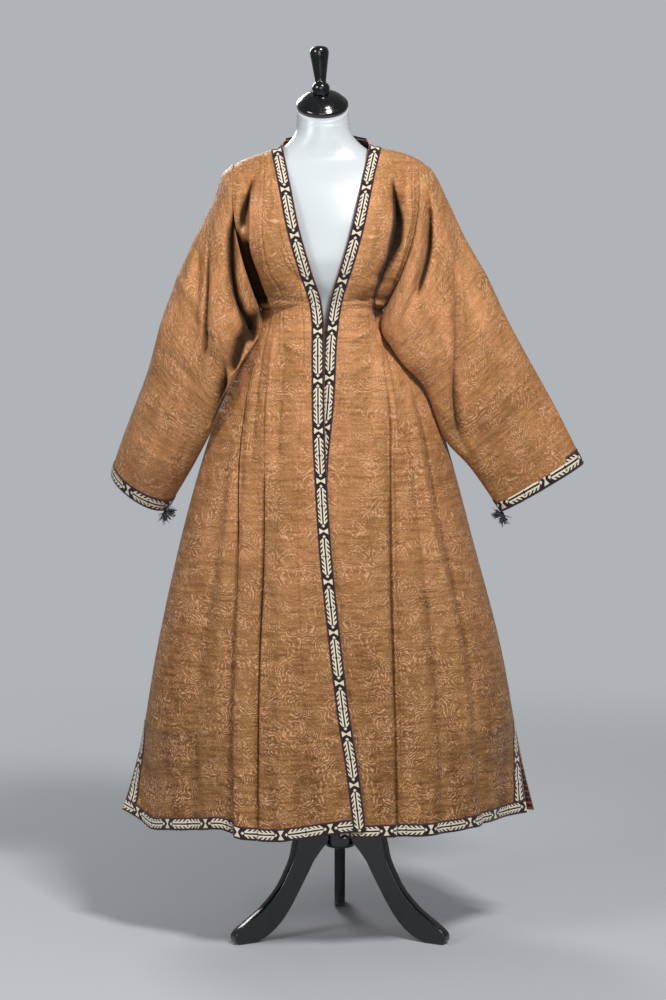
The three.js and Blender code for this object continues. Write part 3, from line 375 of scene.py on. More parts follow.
# Seams and the deep pleat: a lip that folds over a bottom. Each row is height, X, and how far it stands out.
SEAMS = {
    "right": [
        ("seam", [(240, -50, 0), (430, -65, 3), (580, -75, 2), (806, -84, 2), (1030, -80, 1),
                  (1180, -72, 1), (1262, -76, 1), (1400, -118, 2), (1572, -126, 0)]),
        ("seam", [(240, -160, 2), (393, -161, -2), (542, -159, -3), (797, -151, -2), (1075, -148, 0),
                  (1180, -112, 0), (1262, -112, 2), (1330, -136, 6), (1420, -152, 6), (1500, -150, 3),
                  (1572, -150, 0)]),
        ("lip", [(240, -200, 9), (411, -207, 8), (580, -204, 7), (768, -199, 5), (921, -198, 4),
                 (1075, -186, 2), (1170, -150, 1), (1238, -134, 0), (1290, -146, 3), (1367, -172, 6),
                 (1456, -176, 3), (1540, -178, 0)]),
        ("bottom", [(240, -214, -16), (411, -218, -15), (580, -214, -14), (768, -209, -11),
                    (921, -208, -8), (1075, -196, -5), (1170, -160, -3), (1238, -142, -4),
                    (1290, -158, -9), (1367, -188, -10), (1456, -186, -6), (1540, -190, 0)]),
    ],
    "left": [
        ("lip", [(240, 106, 2), (430, 104, 3), (580, 100, 2), (750, 96, 1), (1000, 96, 1), (1170, 78, 2),
                 (1238, 70, 2), (1289, 74, 4), (1357, 92, 3), (1456, 104, 2), (1545, 106, 0)]),
        ("bottom", [(240, 118, -5), (430, 115, -6), (580, 113, -5), (750, 110, -3), (1000, 106, -3),
                    (1170, 88, -4), (1238, 80, -6), (1289, 86, -8), (1357, 105, -8), (1456, 116, -6),
                    (1500, 116, -4), (1545, 118, 0)]),
        ("ridge", [(240, 190, 4), (430, 182, 4), (580, 172, 3), (750, 160, 3), (1000, 140, 3),
                   (1170, 104, 2), (1238, 92, 2), (1289, 100, 4), (1357, 120, 6), (1456, 130, 5),
                   (1545, 130, 0)]),
        ("seam", [(240, 281, 3), (430, 270, -4), (561, 258, -4), (710, 230, -3), (846, 198, -2),
                  (1024, 166, -2), (1120, 138, 0), (1180, 114, 0), (1238, 97, 0), (1289, 116, 4),
                  (1357, 136, 7), (1456, 142, 4), (1545, 142, 0)]),
    ],
}
COUNTS = {"right": (12, 22, 28, 18, 12, 30, 10), "left": (12, 26, 12, 22, 24, 26, 10)}
# Pressed edges: how far the cloth sinks in a sharp line beside the seam of that number.
PLEAT_EDGES = {
    "right": {
        1: table("z out", (240, -5), (600, -7), (900, -6), (960, 0), (1572, 0)),
        2: table("z out", (240, -7), (600, -9), (1000, -9), (1120, -7), (1180, 0), (1572, 0)),
    },
    "left": {
        0: table("z out", (240, -6), (600, -7), (1000, -6), (1120, -4), (1170, 0), (1572, 0)),
        3: table("z out", (240, -4), (600, -6), (1000, -6), (1100, -3), (1150, 0), (1572, 0)),
    },
}
# The lower edges of the fronts, which dip between the folds.
HEMS = {
    "right": table("x z", (-434, 248), (-400, 235), (-370, 221), (-338, 227), (-289, 233), (-232, 243),
                   (-190, 233), (-146, 230), (-88, 235), (-29, 245), (50, 254)),
    "left": table("x z", (-3, 238), (60, 240), (156, 238), (246, 240), (370, 243)),
}
# Folds that run down the cloth: rows of height, X, width, and how far the fold stands out.
FRONT_FOLDS = {
    "right": [
        [(240, -163, 5, -4), (382, -163, 5, -7), (504, -165, 4, -6), (727, -151, 4, -4), (951, -141, 4, 0)],
        [(300, -212, 9, -6), (700, -203, 9, -8), (1000, -192, 8, -7), (1100, -186, 7, -4),
         (1167, -178, 5, 0)],
        [(900, -176, 5, 0), (1000, -172, 5, -6), (1100, -164, 5, -7), (1180, -152, 4, -4),
         (1230, -140, 4, 0)],
        [(960, -148, 5, 0), (1060, -142, 5, 6), (1150, -134, 5, 7), (1215, -126, 4, 0)],
        [(880, -126, 7, 0), (1010, -122, 6, -6), (1140, -112, 5, -4), (1225, -104, 4, 0)],
        [(380, -250, 14, 0), (620, -240, 14, 8), (850, -222, 12, 8), (1060, -200, 9, 0)],
        [(240, -300, 16, -11), (500, -286, 16, -10), (800, -250, 13, -7), (1000, -222, 9, 0)],
        [(240, -110, 15, 8), (520, -118, 15, 7), (820, -112, 13, 4), (1000, -104, 9, 0)],
        [(1400, -200, 8, 0), (1425, -198, 8, -24), (1455, -190, 7, -24), (1485, -180, 6, -18),
         (1508, -172, 4, -8), (1520, -168, 4, 0)],
        [(1262, -158, 6, -12), (1282, -162, 7, -24), (1310, -168, 6, -24), (1345, -180, 5, -22),
         (1378, -189, 4, -12), (1402, -194, 4, 0)],
        [(1280, -150, 12, 0), (1360, -140, 14, 7), (1450, -128, 14, 6), (1530, -130, 12, 0)],
    ],
    "left": [
        [(1205, 84, 5, 0), (1225, 80, 7, -14), (1255, 76, 9, -20), (1280, 78, 9, -28), (1308, 86, 8, -34),
         (1345, 100, 8, -34), (1385, 112, 9, -36), (1425, 116, 8, -34), (1470, 109, 6, -24),
         (1500, 105, 4, -10), (1512, 104, 4, 0)],
        [(240, 112, 4, -4), (363, 107, 4, -7), (593, 102, 4, -7), (863, 97, 4, -6), (997, 93, 4, -4),
         (1152, 94, 4, 0)],
        [(240, 128, 4, -3), (363, 123, 4, -6), (593, 118, 4, -6), (863, 112, 4, -4), (1100, 110, 4, 0)],
        [(240, 284, 6, -6), (371, 278, 6, -8), (525, 263, 6, -8), (702, 228, 6, -8), (841, 197, 6, -7),
         (1022, 167, 5, -7), (1110, 146, 5, 0)],
        [(240, 264, 9, 6), (525, 243, 9, 7), (841, 178, 9, 7), (1022, 150, 7, 4), (1110, 132, 6, 0)],
        [(240, 200, 18, -10), (520, 186, 18, -10), (800, 158, 15, -8), (1000, 138, 10, -4),
         (1120, 118, 8, 0)],
        [(240, 56, 15, 7), (600, 52, 15, 7), (900, 48, 14, 4), (1080, 40, 10, 0)],
        [(930, 118, 5, 0), (1020, 110, 5, 7), (1120, 96, 5, 7), (1200, 78, 4, 4), (1240, 66, 4, 0)],
        [(760, 3, 4, 0), (800, 2, 4, -4), (998, 2, 4, -4), (1150, 4, 4, -3), (1262, 6, 4, 0)],
        [(1300, 40, 12, 0), (1360, 56, 14, 7), (1450, 72, 14, 6), (1530, 88, 10, 0)],
    ],
}
# Folds that run across it: X and height of both ends, width, and how far the fold stands out.
FRONT_CROSSES = {
    "right": [
        (-153, 1240, -70, 1262, 5, -5),
        (-150, 1222, -92, 1240, 5, 3),
        (-159, 564, -92, 586, 5, -4),
        (-164, 1006, -76, 1007, 4, -2),
        (-150, 962, -84, 990, 6, -3),
        (-205, 700, -160, 760, 7, -3),
        (-130, 436, -84, 446, 5, -3),
        (-200, 1400, -150, 1300, 7, -4),
        (-120, 1190, -60, 1160, 6, 4),
        (-126, 1110, -70, 1140, 6, 3),
        (-110, 1336, -60, 1290, 8, -4),
    ],
    "left": [
        (20, 1277, 66, 1262, 5, -5),
        (28, 1248, 72, 1234, 5, 3),
        (66, 1200, 112, 1010, 12, 5),
        (40, 1150, 90, 930, 10, -3),
        (60, 560, 110, 540, 6, -3),
        (140, 700, 210, 640, 8, -3),
        (64, 1380, 84, 1300, 8, -4),
        (20, 1190, 70, 1216, 6, 4),
        (16, 1120, 60, 1150, 6, 3),
    ],
}
# What sinks deeper than this is pushed straight back instead of along the cloth's normal.
DEEP_FOLD = 8
# Seams of the panels: how far the sewn line sinks, its width, and the puckered swelling on both sides of it.
SEAM_SINK, SEAM_WIDTH, SWELL, SWELL_OFF, SWELL_WIDTH = 1.5, 1.8, 0.5, 5, 3
PRESSED_FROM_LIP, PRESSED_WIDTH = 4, 2.4
# The waist seam, how far it sags to the side, and the small gathers that hang from it.
WAIST_SINK, WAIST_WIDTH, WAIST_SAG, GATHER_HEIGHT, GATHER_DROP, GATHER_WAVE = 2.2, 3.5, 8, 0.9, 26, 9
# The panels' edges lie as they are sewn, and folds and dents grow to their full height this far in.
EDGE_EASE = 16
# Half the length over which the cloth's direction is taken, the least space between two seams, and the most
# of a row that the inner band takes.
PROBE, LEAST_SPACE, BAND_SHARE = 4, 5, 0.25
# A groove ends this far from the middle plane, so that front and back don't cross.
FACE_GAP = 4
DENT_WAVES, DENT_LONG, DENT_SHORT, DENT_HEIGHT = 26, 95, 22, 1.1
RANDOM_SEED = 11
SCROLL, FLOWER, SCROLL_LINE, DRIFT, DRIFT_REACH = 50.0, 26.0, 6.25, 71.0, 75.0
SILK_THREAD, RIB, STREAK, PATCH, BREAK, SLUB, WEAR, CRINKLE = 2.1, 7.7, 38.0, 45.0, 6.7, 3.0, 167.0, 33.0
LOBES, LOBE_DEPTH, PETALS, PETAL_REACH, FLOWER_RADIUS = 7.0, 0.22, 5.0, 2.2, 5.5


def brocade():
    """The robe's cloth: scrolls are rings round scattered centres, lobed and wound in or out by the turn
    round them, and flowers are five-lobed outlines; both are broken up, as worn threads are."""
    made, tree, shader = finish("woven_silk_brocade", IOR=1.5, Sheen_Weight=0.04, Sheen_Roughness=0.4,
                                Specular_Tint=linear("#FFD09A"))
    plug(tree, shader, {"Specular IOR Level": 0.45})
    uv = node(tree, "UVMap", uv_map="UV")
    spot = node(tree, "TexCoord", out="Object")
    waves = node(tree, "TexNoise", {"Vector": uv, "Scale": per_metre(DRIFT), "Detail": 2.0}, "Color")
    drift = node(tree, "VectorMath", (waves, (DRIFT_REACH * MM, DRIFT_REACH * MM, 0)), **TIMES)
    warped = node(tree, "VectorMath", (uv, drift), **PLUS)
    parts = []
    for size, randomness in ((SCROLL, 0.8), (FLOWER, 0.95)):
        cells = {"Vector": warped, "Scale": per_metre(size), "Randomness": randomness}
        centre = node(tree, "TexVoronoi", cells, "Position", voronoi_dimensions="2D")
        shade = node(tree, "TexVoronoi", cells, "Color", voronoi_dimensions="2D")
        away = node(tree, "VectorMath", (warped, centre), **LESS)
        x, y = node(tree, "SeparateXYZ", (away,), 0), node(tree, "SeparateXYZ", (away,), 1)
        turn = node(tree, "Math", (y, x), operation="ARCTAN2")
        far = node(tree, "VectorMath", (away,), "Value", operation="LENGTH")
        parts += [far, turn, node(tree, "SeparateColor", (shade,))]
    far, turn, chance, flower_far, flower_turn, flower_chance = parts
    hand = node(tree, "Math", (node(tree, "Math", (chance, 0.5), **LESS),), operation="SIGN")
    winding = node(tree, "Math", (node(tree, "Math", (turn, hand), **TIMES), 1 / (2 * np.pi)), **TIMES)
    lobes = node(tree, "Math", (node(tree, "Math", (turn, LOBES), **TIMES),), operation="COSINE")
    lobes = node(tree, "Math", (lobes, LOBE_DEPTH, winding), operation="MULTIPLY_ADD")
    rings = node(tree, "Math", (far, per_metre(SCROLL_LINE), lobes), operation="MULTIPLY_ADD")
    rings = node(tree, "Math", (node(tree, "Math", (rings,), operation="FRACT"), 0.5), **LESS)
    rings = node(tree, "Math", (rings,), operation="ABSOLUTE")
    scroll = node(tree, "MapRange", (rings, 0.1, 0.24, 1.0, 0.0), **RISE)
    patch = node(tree, "TexNoise", {"Vector": uv, "Scale": per_metre(PATCH), "Detail": 2.0})
    patch = node(tree, "MapRange", (patch, 0.42, 0.6, 0.15, 1.0), **RISE)
    scroll = node(tree, "Math", (scroll, patch), **TIMES)
    petals = node(tree, "Math", (node(tree, "Math", (flower_turn, PETALS), **TIMES),), operation="COSINE")
    rim = node(tree, "Math", (petals, -PETAL_REACH * MM, flower_far), operation="MULTIPLY_ADD")
    rim = node(tree, "Math", (node(tree, "Math", (rim, FLOWER_RADIUS * MM), **LESS),), operation="ABSOLUTE")
    flower = node(tree, "MapRange", (rim, 0.5 * MM, 1.4 * MM, 1.0, 0.0), **RISE)
    few = node(tree, "MapRange", (flower_chance, 0.45, 0.5), **RISE)
    flower = node(tree, "Math", (flower, few), **TIMES)
    drawn = node(tree, "Math", (scroll, flower), operation="MAXIMUM")
    lengthwise = node(tree, "VectorMath", (uv, (1.0, 1.7, 1.0)), **TIMES)
    threads = node(tree, "TexNoise", {"Vector": lengthwise, "Scale": per_metre(SILK_THREAD), "Detail": 2.0})
    broken = node(tree, "TexNoise", {"Vector": uv, "Scale": per_metre(BREAK), "Detail": 3.0})
    broken = node(tree, "MapRange", (broken, 0.38, 0.56), **RISE)
    worn = node(tree, "Math", (broken, node(tree, "MapRange", (threads, 0.3, 0.6), **RISE)), **TIMES)
    drawn = node(tree, "Math", (drawn, worn), **TIMES)
    wear = node(tree, "TexNoise", {"Vector": spot, "Scale": per_metre(WEAR), "Detail": 4.0})
    wear = node(tree, "MapRange", (wear, 0.4, 0.62), **RISE)
    long_streaks = node(tree, "VectorMath", (uv, (1.0, 0.07, 1.0)), **TIMES)
    streaks = node(tree, "TexNoise", {"Vector": long_streaks, "Scale": per_metre(STREAK), "Detail": 4.0})
    streaks = node(tree, "MapRange", (streaks, 0.35, 0.65), **RISE)
    long_ribs = node(tree, "VectorMath", (uv, (0.12, 1.0, 1.0)), **TIMES)
    ribs = node(tree, "TexNoise", {"Vector": long_ribs, "Scale": per_metre(RIB), "Detail": 3.0})
    ribs = node(tree, "MapRange", (ribs, 0.35, 0.65), **RISE)
    low = node(tree, "MapRange", (node(tree, "SeparateXYZ", (spot,), 2), 1.3, 0.2), **RISE)
    slubs = node(tree, "TexNoise", {"Vector": uv, "Scale": per_metre(SLUB), "Detail": 1.0})
    slubs = node(tree, "MapRange", (slubs, 0.58, 0.72), **RISE)
    dots = node(tree, "MapRange", (threads, 0.4, 0.68), **RISE)
    colour = node(tree, "Mix", {0: wear, 6: linear("#B57A52"), 7: linear("#8F5E38")}, 2, **COLOURS)
    # Painted shade: the attribute darkens the cloth's colour where it sinks into folds and grooves, and
    # roughens it there.
    fold = node(tree, "Attribute", attribute_name="painted_shade", out="Fac")
    # What lies over the ground: its share, the most that it covers and its colour, from dull streaks to the
    # scrolls' pale thread, and last the painted shade, near black, in the folds.
    layers = [
        (low, 1.0, "#4C2C13"),
        (streaks, 0.62, "#7C5930"),
        (ribs, 0.2, "#D39E6A"),
        (dots, 0.5, "#693E1E"),
        (slubs, 0.35, "#E0A876"),
        (drawn, 0.78, "#E6B28E"),
        (fold, 0.95, "#170A05"),
    ]
    for share, most, code in layers:
        share = node(tree, "Math", (share, most), **TIMES)
        colour = node(tree, "Mix", {0: share, 6: colour, 7: linear(code)}, 2, **COLOURS)
    gloss = node(tree, "Math", (threads, 0.25, 0.3), operation="MULTIPLY_ADD")
    gloss = node(tree, "Math", (streaks, 0.12, gloss), operation="MULTIPLY_ADD")
    gloss = node(tree, "Math", (gloss, fold), operation="MAXIMUM")
    upright = node(tree, "VectorMath", (uv, (1.0, 0.8, 1.0)), **TIMES)
    crinkle = node(tree, "TexNoise", {"Vector": upright, "Scale": per_metre(CRINKLE), "Detail": 5.0})
    crinkle = node(tree, "Math", (node(tree, "Math", (crinkle, 0.5), **LESS),), operation="ABSOLUTE")
    rise = node(tree, "Math", (ribs, 0.1), **TIMES)
    for part, share in ((drawn, 0.06), (threads, 0.1), (crinkle, -1.6)):
        rise = node(tree, "Math", (part, share, rise), operation="MULTIPLY_ADD")
    bump = node(tree, "Bump", {"Distance": 5 * MM, "Height": rise})
    plug(tree, shader, {"Base Color": colour, "Roughness": gloss, "Normal": bump})
    return made


# Silk brocade, hand-woven: orange-brown, gold where it is worn smooth, with thin pinkish scrolls and small
# flowers, fine ribs across, duller and darker towards the hem, and painted shade, near black, in its folds.
BROCADE = brocade()

# Striped cotton, hand-woven and glazed dull: dark brown with narrow orange stripes across, seen at the
# slits.
STRIPE, COTTON_THREAD = 12.1, 1.25
LINING, tree, shader = finish("striped_cotton_lining", Roughness=0.85)
uv = node(tree, "UVMap", uv_map="UV")
height = node(tree, "SeparateXYZ", (node(tree, "TexCoord", out="Object"),), 2)
wave = node(tree, "Math", (node(tree, "SeparateXYZ", (uv,), 1), 2 * np.pi * per_metre(STRIPE)), **TIMES)
wave = node(tree, "Math", (wave,), operation="SINE")
uneven = node(tree, "TexNoise", {"Vector": uv, "Scale": per_metre(STRIPE)})
stripe = node(tree, "MapRange", (node(tree, "Math", (wave, uneven), **PLUS), 0.9, 1.3, 0.0, 0.75), **RISE)
stripe = node(tree, "Math", (stripe, node(tree, "MapRange", (height, 1.2, 0.8), **RISE)), **TIMES)
long_threads = node(tree, "VectorMath", (uv, (1.0, 3.0, 1.0)), **TIMES)
threads = node(tree, "TexNoise", {"Vector": long_threads, "Scale": per_metre(COTTON_THREAD), "Detail": 2.0})
colour = node(tree, "Mix", {0: stripe, 6: linear("#2E1810"), 7: linear("#A85E2C")}, 2, **COLOURS)
dark = node(tree, "Math", (threads, 0.4), **TIMES)
plug(tree, shader, {
    "Base Color": node(tree, "Mix", {0: dark, 6: colour, 7: linear("#170B07")}, 2, **COLOURS),
    "Normal": node(tree, "Bump", {"Distance": 0.4 * MM, "Height": threads}),
})


def bell(x, width):
    """1 at x 0, falling off to both sides over about the width."""
    return np.exp(-((x / width) ** 2))


def crest(x, width):
    """1 at x 0, falling off faster at first, as from the edge of a fold in stiff cloth."""
    return np.exp(-np.abs(x / width) ** 1.3)


def lengths(points):
    """The distance along each row of points from the row's start."""
    steps = np.linalg.norm(np.diff(points, axis=1), axis=2)
    return np.concatenate([np.zeros((len(points), 1)), np.cumsum(steps, 1)], 1)


def along_rows(points, runs, spots):
    """Points of each row at the distances in spots, from straight lines between the row's own points."""
    found = [[np.interp(spots[r], runs[r], points[r, :, k]) for k in range(3)] for r in range(len(points))]
    return np.array(found).transpose(0, 2, 1)


def half_width(z, offset):
    """The outline's half width at a height, on the side of the axis that the offset is on."""
    return np.where(offset < 0, read(GIRTH, z, "left"), read(GIRTH, z, "right"))


def robe_depth(x, z, face):
    """Y of the outline before, face -1, or behind, face 1, the middle plane: the depth times a
    superellipse."""
    offset = x - axis_x(z)
    reach = np.clip(np.abs(offset) / half_width(z, offset), 0, 1)
    power = read(GIRTH, z, "power")
    return face * read(GIRTH, z, "front" if face < 0 else "back") * (1 - reach**power) ** (1 / power)


def shoulder_z(x):
    """The height at which the outline is just as wide as x is far from the axis, by halving."""
    low, high = np.full(np.shape(x), SHOULDER_LOW), np.full(np.shape(x), SHOULDER_HIGH)
    for _ in range(HALVINGS):
        z = (low + high) / 2
        offset = x - axis_x(z)
        wide = half_width(z, offset) > np.abs(offset)
        low, high = np.where(wide, z, low), np.where(wide, high, z)
    return low


def slit_opening(z):
    """How open a slit is: none at its top, 1 at the hem."""
    return np.clip((SLIT_TOP_Z - z) / (SLIT_TOP_Z - HEM_Z), 0, 1) ** 1.5


def outer_edge(side, z, climb, face):
    """The outer edge of a body panel at each row: the side line below the underarm, and above it the
    armhole, which climbs on a bowed half ellipse from the underarm to the shoulder line."""
    apart, curl, step = SLITS[f"{side}_{'front' if face < 0 else 'back'}"]
    top_x, bottom_x, depth, bow = ARMHOLES[side]
    width = read(GIRTH, z, "left" if side == "right" else "right")
    open_by = slit_opening(z)
    side_x = axis_x(z) + SIGNS[side] * (width + (step - curl) * open_by)
    line = np.stack([side_x, face * apart * open_by, z], 1)
    angle = np.pi * (1 - climb)
    share = (1 + np.cos(angle)) / 2
    x = mix(bottom_x, top_x, share) + bow * np.sin(angle) ** 2
    hole = np.stack([x, face * depth * np.sin(angle), mix(UNDERARM_Z, shoulder_z(np.array(top_x)), share)], 1)
    return np.where(climb[:, None] > 0, hole, line)


def panel_rows():
    """Heights from the hem to the underarm, closer in the hem band, then shares of the climb up the
    armhole."""
    skirt = [np.linspace(HEM_Z, BAND_TOP_Z, ROWS_IN_BAND),
             np.linspace(BAND_TOP_Z + 5, SLIT_TOP_Z, ROWS_AT_SLIT),
             np.linspace(SLIT_TOP_Z + 5, UNDERARM_Z, ROWS_OVER_SLIT)]
    climbs = np.linspace(0, 1, ROWS_OF_ARMHOLE + 1)[1:]
    z = np.concatenate([*skirt, np.full(len(climbs), UNDERARM_Z)])
    return z, np.concatenate([np.zeros(len(z) - len(climbs)), climbs])


def folds_on(x, z, folds, crosses):
    """The sum of crests across each fold, read at each height, faded in and out along those that run
    across."""
    out = np.zeros(np.shape(x))
    for rows in folds:
        fold = table("z x width out", *rows)
        share = read(fold, z, "out") * (z >= rows[0][0]) * (z <= rows[-1][0])
        out += share * crest(x - read(fold, z, "x"), 1.1 * read(fold, z, "width"))
    for x0, z0, x1, z1, width, height in crosses:
        length = np.hypot(x1 - x0, z1 - z0)
        along = ((x - x0) * (x1 - x0) + (z - z0) * (z1 - z0)) / length
        away = ((x - x0) * (z1 - z0) - (z - z0) * (x1 - x0)) / length
        fade = smooth(along, -width, length * 0.3) * (1 - smooth(along, length * 0.7, length + width))
        out += height * crest(away, width) * fade
    return out


def dents(x, z, seed):
    """Small dents in worn cloth: sharp-crested waves in random directions, added up, more of them short
    ones."""
    chance = np.random.default_rng(seed)
    out = np.zeros(np.shape(x))
    for size in np.geomspace(DENT_LONG, DENT_SHORT, DENT_WAVES):
        turn, start = chance.uniform(0, np.pi), chance.uniform(0, 2 * np.pi)
        bend = 1.3 * np.sin((x * np.sin(turn) - z * np.cos(turn)) / (size * 1.7) + start)
        wave = np.sin(2 * np.pi * (x * np.cos(turn) + z * np.sin(turn)) / size + start + bend)
        out += (1 - 2 * np.abs(wave)) * size / DENT_LONG
    return DENT_HEIGHT * out / np.sqrt(DENT_WAVES)


def front_base(side, z, climb):
    """Points of each row of a front before its folds: equal steps of angle round the outline from the inner
    edge to the outer one, with the height changing evenly, and the outer part drawn to the slit or the
    armhole."""
    neck_x = EDGES[side][1][-1, 1]
    inner_z = np.where(climb > 0, mix(UNDERARM_Z, shoulder_z(np.array(neck_x)), climb), z)
    inner_x = read(EDGES[side], inner_z, "x")
    outer = outer_edge(side, z, climb, -1)
    ends = []
    for x, at in ((inner_x, inner_z), (outer[:, 0], outer[:, 2])):
        offset = x - axis_x(at)
        ends.append(np.arcsin(np.clip(offset / half_width(at, offset), -1, 1))[:, None])
    share = np.linspace(0, 1, SAMPLES)[None]
    angle = mix(*ends, share)
    height = mix(inner_z[:, None], outer[:, 2:], share)
    x = axis_x(height) + half_width(height, angle) * np.sin(angle)
    x[:, -1] = outer[:, 0]
    y = robe_depth(x, height, -1)
    y[climb == 1] = 0
    y += (outer[:, 1] - y[:, -1])[:, None] * smooth(share, 0.35, 1)
    return np.stack([x, y, height], 2), (inner_z + outer[:, 2]) / 2


def front_stops(side, points, runs, middle_z, climb):
    """Distances along each row to the band's line, the seams and folds, the side band's line and the end,
    and how far the cloth stands out at each."""
    length = runs[:, -1]
    none = np.zeros(len(runs))
    stops, lifts = [none, np.minimum(BAND_WIDTH, length * BAND_SHARE)], [none, none]
    for _, rows in SEAMS[side]:
        seam = table("z x out", *rows)
        x = SIGNS[side] * read(seam, middle_z, "x")
        found = np.array([np.interp(x[r], SIGNS[side] * points[r, :, 0], runs[r]) for r in range(len(runs))])
        left = len(SEAMS[side]) + 3 - len(stops)
        stops.append(np.clip(found, stops[-1] + LEAST_SPACE, length - LEAST_SPACE * left))
        lifts.append(read(seam, middle_z, "out"))
    band = np.minimum(BAND_WIDTH * (1 - 0.5 * climb), (length - stops[-1]) * 0.4)
    stops += [np.maximum(stops[-1] + 4, length - band), length]
    return np.stack(stops, 1), np.stack([*lifts, none, none], 1)


def spread(stops, counts):
    """Distances between the stops, a count for each space, half evenly and half crowded towards its ends."""
    shares = []
    for k, count in enumerate(counts):
        t = np.linspace(0, 1, count, endpoint=False)
        t = (t + (1 - np.cos(np.pi * t)) / 2) / 2
        shares.append(mix(stops[:, k, None], stops[:, k + 1, None], t[None]))
    return np.concatenate([*shares, stops[:, -1:]], 1)


def front(side, z, climb, places):
    """A front's grid of points at the rows (z, climb) and the columns that places(stops) gives: the base,
    moved out by the seams' lifts, the sewn troughs, the folds and the dents, and then lapped, curled and
    hemmed."""
    base, middle_z = front_base(side, z, climb)
    runs = lengths(base)
    stops, lifts = front_stops(side, base, runs, middle_z, climb)
    spots = places(stops)
    points = along_rows(base, runs, spots)
    step = along_rows(base, runs, np.minimum(spots + PROBE, runs[:, -1:]))
    step -= along_rows(base, runs, np.maximum(spots - PROBE, 0))
    height = points[..., 2]
    out = np.zeros(spots.shape)
    for r in range(len(spots)):
        place = np.interp(spots[r], stops[r], np.arange(stops.shape[1]))
        k = np.minimum(place.astype(int), stops.shape[1] - 2)
        out[r] = mix(lifts[r, k], lifts[r, k + 1], smooth(place - k, 0, 1))
    pressed = np.zeros(spots.shape)
    for k, (kind, _) in enumerate(SEAMS[side]):
        away = spots - stops[:, k + 2, None]
        if kind == "seam":
            pucker = 1 + 0.5 * np.sin(height / 7 + 3 * np.sin(height / 31))
            swelling = SWELL * pucker * bell(np.abs(away) - SWELL_OFF, SWELL_WIDTH)
            out += -SEAM_SINK * bell(away, SEAM_WIDTH) + swelling
        if k in PLEAT_EDGES[side]:
            beside = PRESSED_FROM_LIP if kind == "lip" else 0
            pressed += read(PLEAT_EDGES[side][k], height, "out") * bell(away - beside, PRESSED_WIDTH)
    sides = smooth(np.minimum(spots, runs[:, -1:] - spots), 0, EDGE_EASE)
    folds = folds_on(points[..., 0], height, FRONT_FOLDS[side], FRONT_CROSSES[side]) * sides
    deep = np.minimum(folds + DEEP_FOLD, 0)
    waist = height - WAIST_Z - WAIST_SAG * smooth(spots, 20, 120)
    gathers = np.sin(spots / GATHER_WAVE + 2 * np.sin(spots / 23))
    gathers = GATHER_HEIGHT * gathers * bell(waist + GATHER_DROP, 24) * smooth(spots, 24, 40)
    out += pressed + dents(points[..., 0], height, RANDOM_SEED)
    out += -WAIST_SINK * bell(waist, WAIST_WIDTH) + gathers
    out = out * sides + folds - deep
    normal = np.stack([step[..., 1], -step[..., 0]], 2) * SIGNS[side]
    normal /= np.maximum(np.linalg.norm(normal, axis=2, keepdims=True), 1e-9)
    points[..., :2] += normal * out[..., None]
    hole = np.where(climb > 0, read(GROOVES[side], base[:, -1, 2], "depth"), 0)[:, None]
    hole = hole * bell(runs[:, -1:] - spots, GROOVE_WIDTH)
    points[..., 1] = np.minimum(points[..., 1] + hole - deep, np.maximum(points[..., 1], -FACE_GAP))
    near = np.where(climb > 0, smooth(0.4 - climb, 0.2, 0.4), 1)[:, None]
    if side == "right":
        points[..., 1] -= OVERLAP_LIFT * near * (1 - smooth(spots, 60, 190))
    curl = np.where(climb > 0, 0, SLITS[f"{side}_front"][1] * slit_opening(z))[:, None]
    points[..., 0] += SIGNS[side] * curl * np.clip(1 - (runs[:, -1:] - spots) / CURL_WIDTH, 0, 1) ** 2
    fade = np.where(climb > 0, 0, 1 - smooth(z, BAND_TOP_Z, 520))[:, None]
    points[..., 2] += (read(HEMS[side], points[..., 0], "z") - HEM_Z) * fade
    # Painted shade: near black where the cloth sinks into the armhole groove, the folds and the pressed pleat
    # edges, and a light painted shade just above the waist seam, where the chest cloth turns down.
    painted_shade = np.maximum(smooth(hole - folds, 6, 16), 0.85 * smooth(-pressed, 2.5, 7))
    painted_waist_shade = 0.3 * bell(waist - 16, 22) * smooth(spots, 30, 60)
    return points, spots, np.maximum(painted_shade, painted_waist_shade)


def flat_places(grid, spots):
    """Each point's place on the flat cloth: the distance along its row, and up the middle column from the
    hem."""
    middle = grid[:, grid.shape[1] // 2][None]
    return np.stack(np.broadcast_arrays(spots, lengths(middle)[0][:, None]), 2)


def normals_of(grid, closed=False):
    """Unit normals of a grid of points, across its slopes down and along the rows, turned out of the
    robe."""
    down = np.gradient(grid, axis=0)
    across = np.roll(grid, -1, 1) - np.roll(grid, 1, 1) if closed else np.gradient(grid, axis=1)
    normals = np.cross(across, down)
    normals /= np.maximum(np.linalg.norm(normals, axis=2, keepdims=True), 1e-9)
    centre = grid.mean(1, keepdims=True)
    if not closed:
        centre[..., 0], centre[..., 1] = axis_x(centre[..., 2]), 0
    return -normals if np.sum(normals * (grid - centre)) < 0 else normals


def sheet(part, grid, uv, material, slot, thickness, closed=False, inside=None, painted_shade=None):
    """A sheet from a grid of points on its outer face, with faces turned outwards and the thickness added on
    the inner side. uv holds each point's place on the flat cloth."""
    rows, columns = grid.shape[:2]
    faces = quads(rows, columns, closed)
    r, c = np.divmod(faces, columns)
    if closed:
        c = np.where((c == 0) & (c.max(1, keepdims=True) == columns - 1), columns, c)
    corners = uv[r, c]
    points = grid.reshape(-1, 3)
    a, b, _, d = faces[len(faces) // 2]
    outward = normals_of(grid, closed).reshape(-1, 3)[a]
    if np.dot(np.cross(points[b] - points[a], points[d] - points[a]), outward) < 0:
        faces, corners = faces[:, ::-1], corners[:, ::-1]
    made = make_object(f"{part}_cloth", points, faces.tolist(), material, corners, painted_shade)
    wall = made.modifiers.new("thickness", "SOLIDIFY")
    wall.thickness = thickness * MM
    wall.offset = -1
    if inside:
        made.data.materials.append(inside)
        wall.material_offset = 1
    return stands_for(made, slot, part)


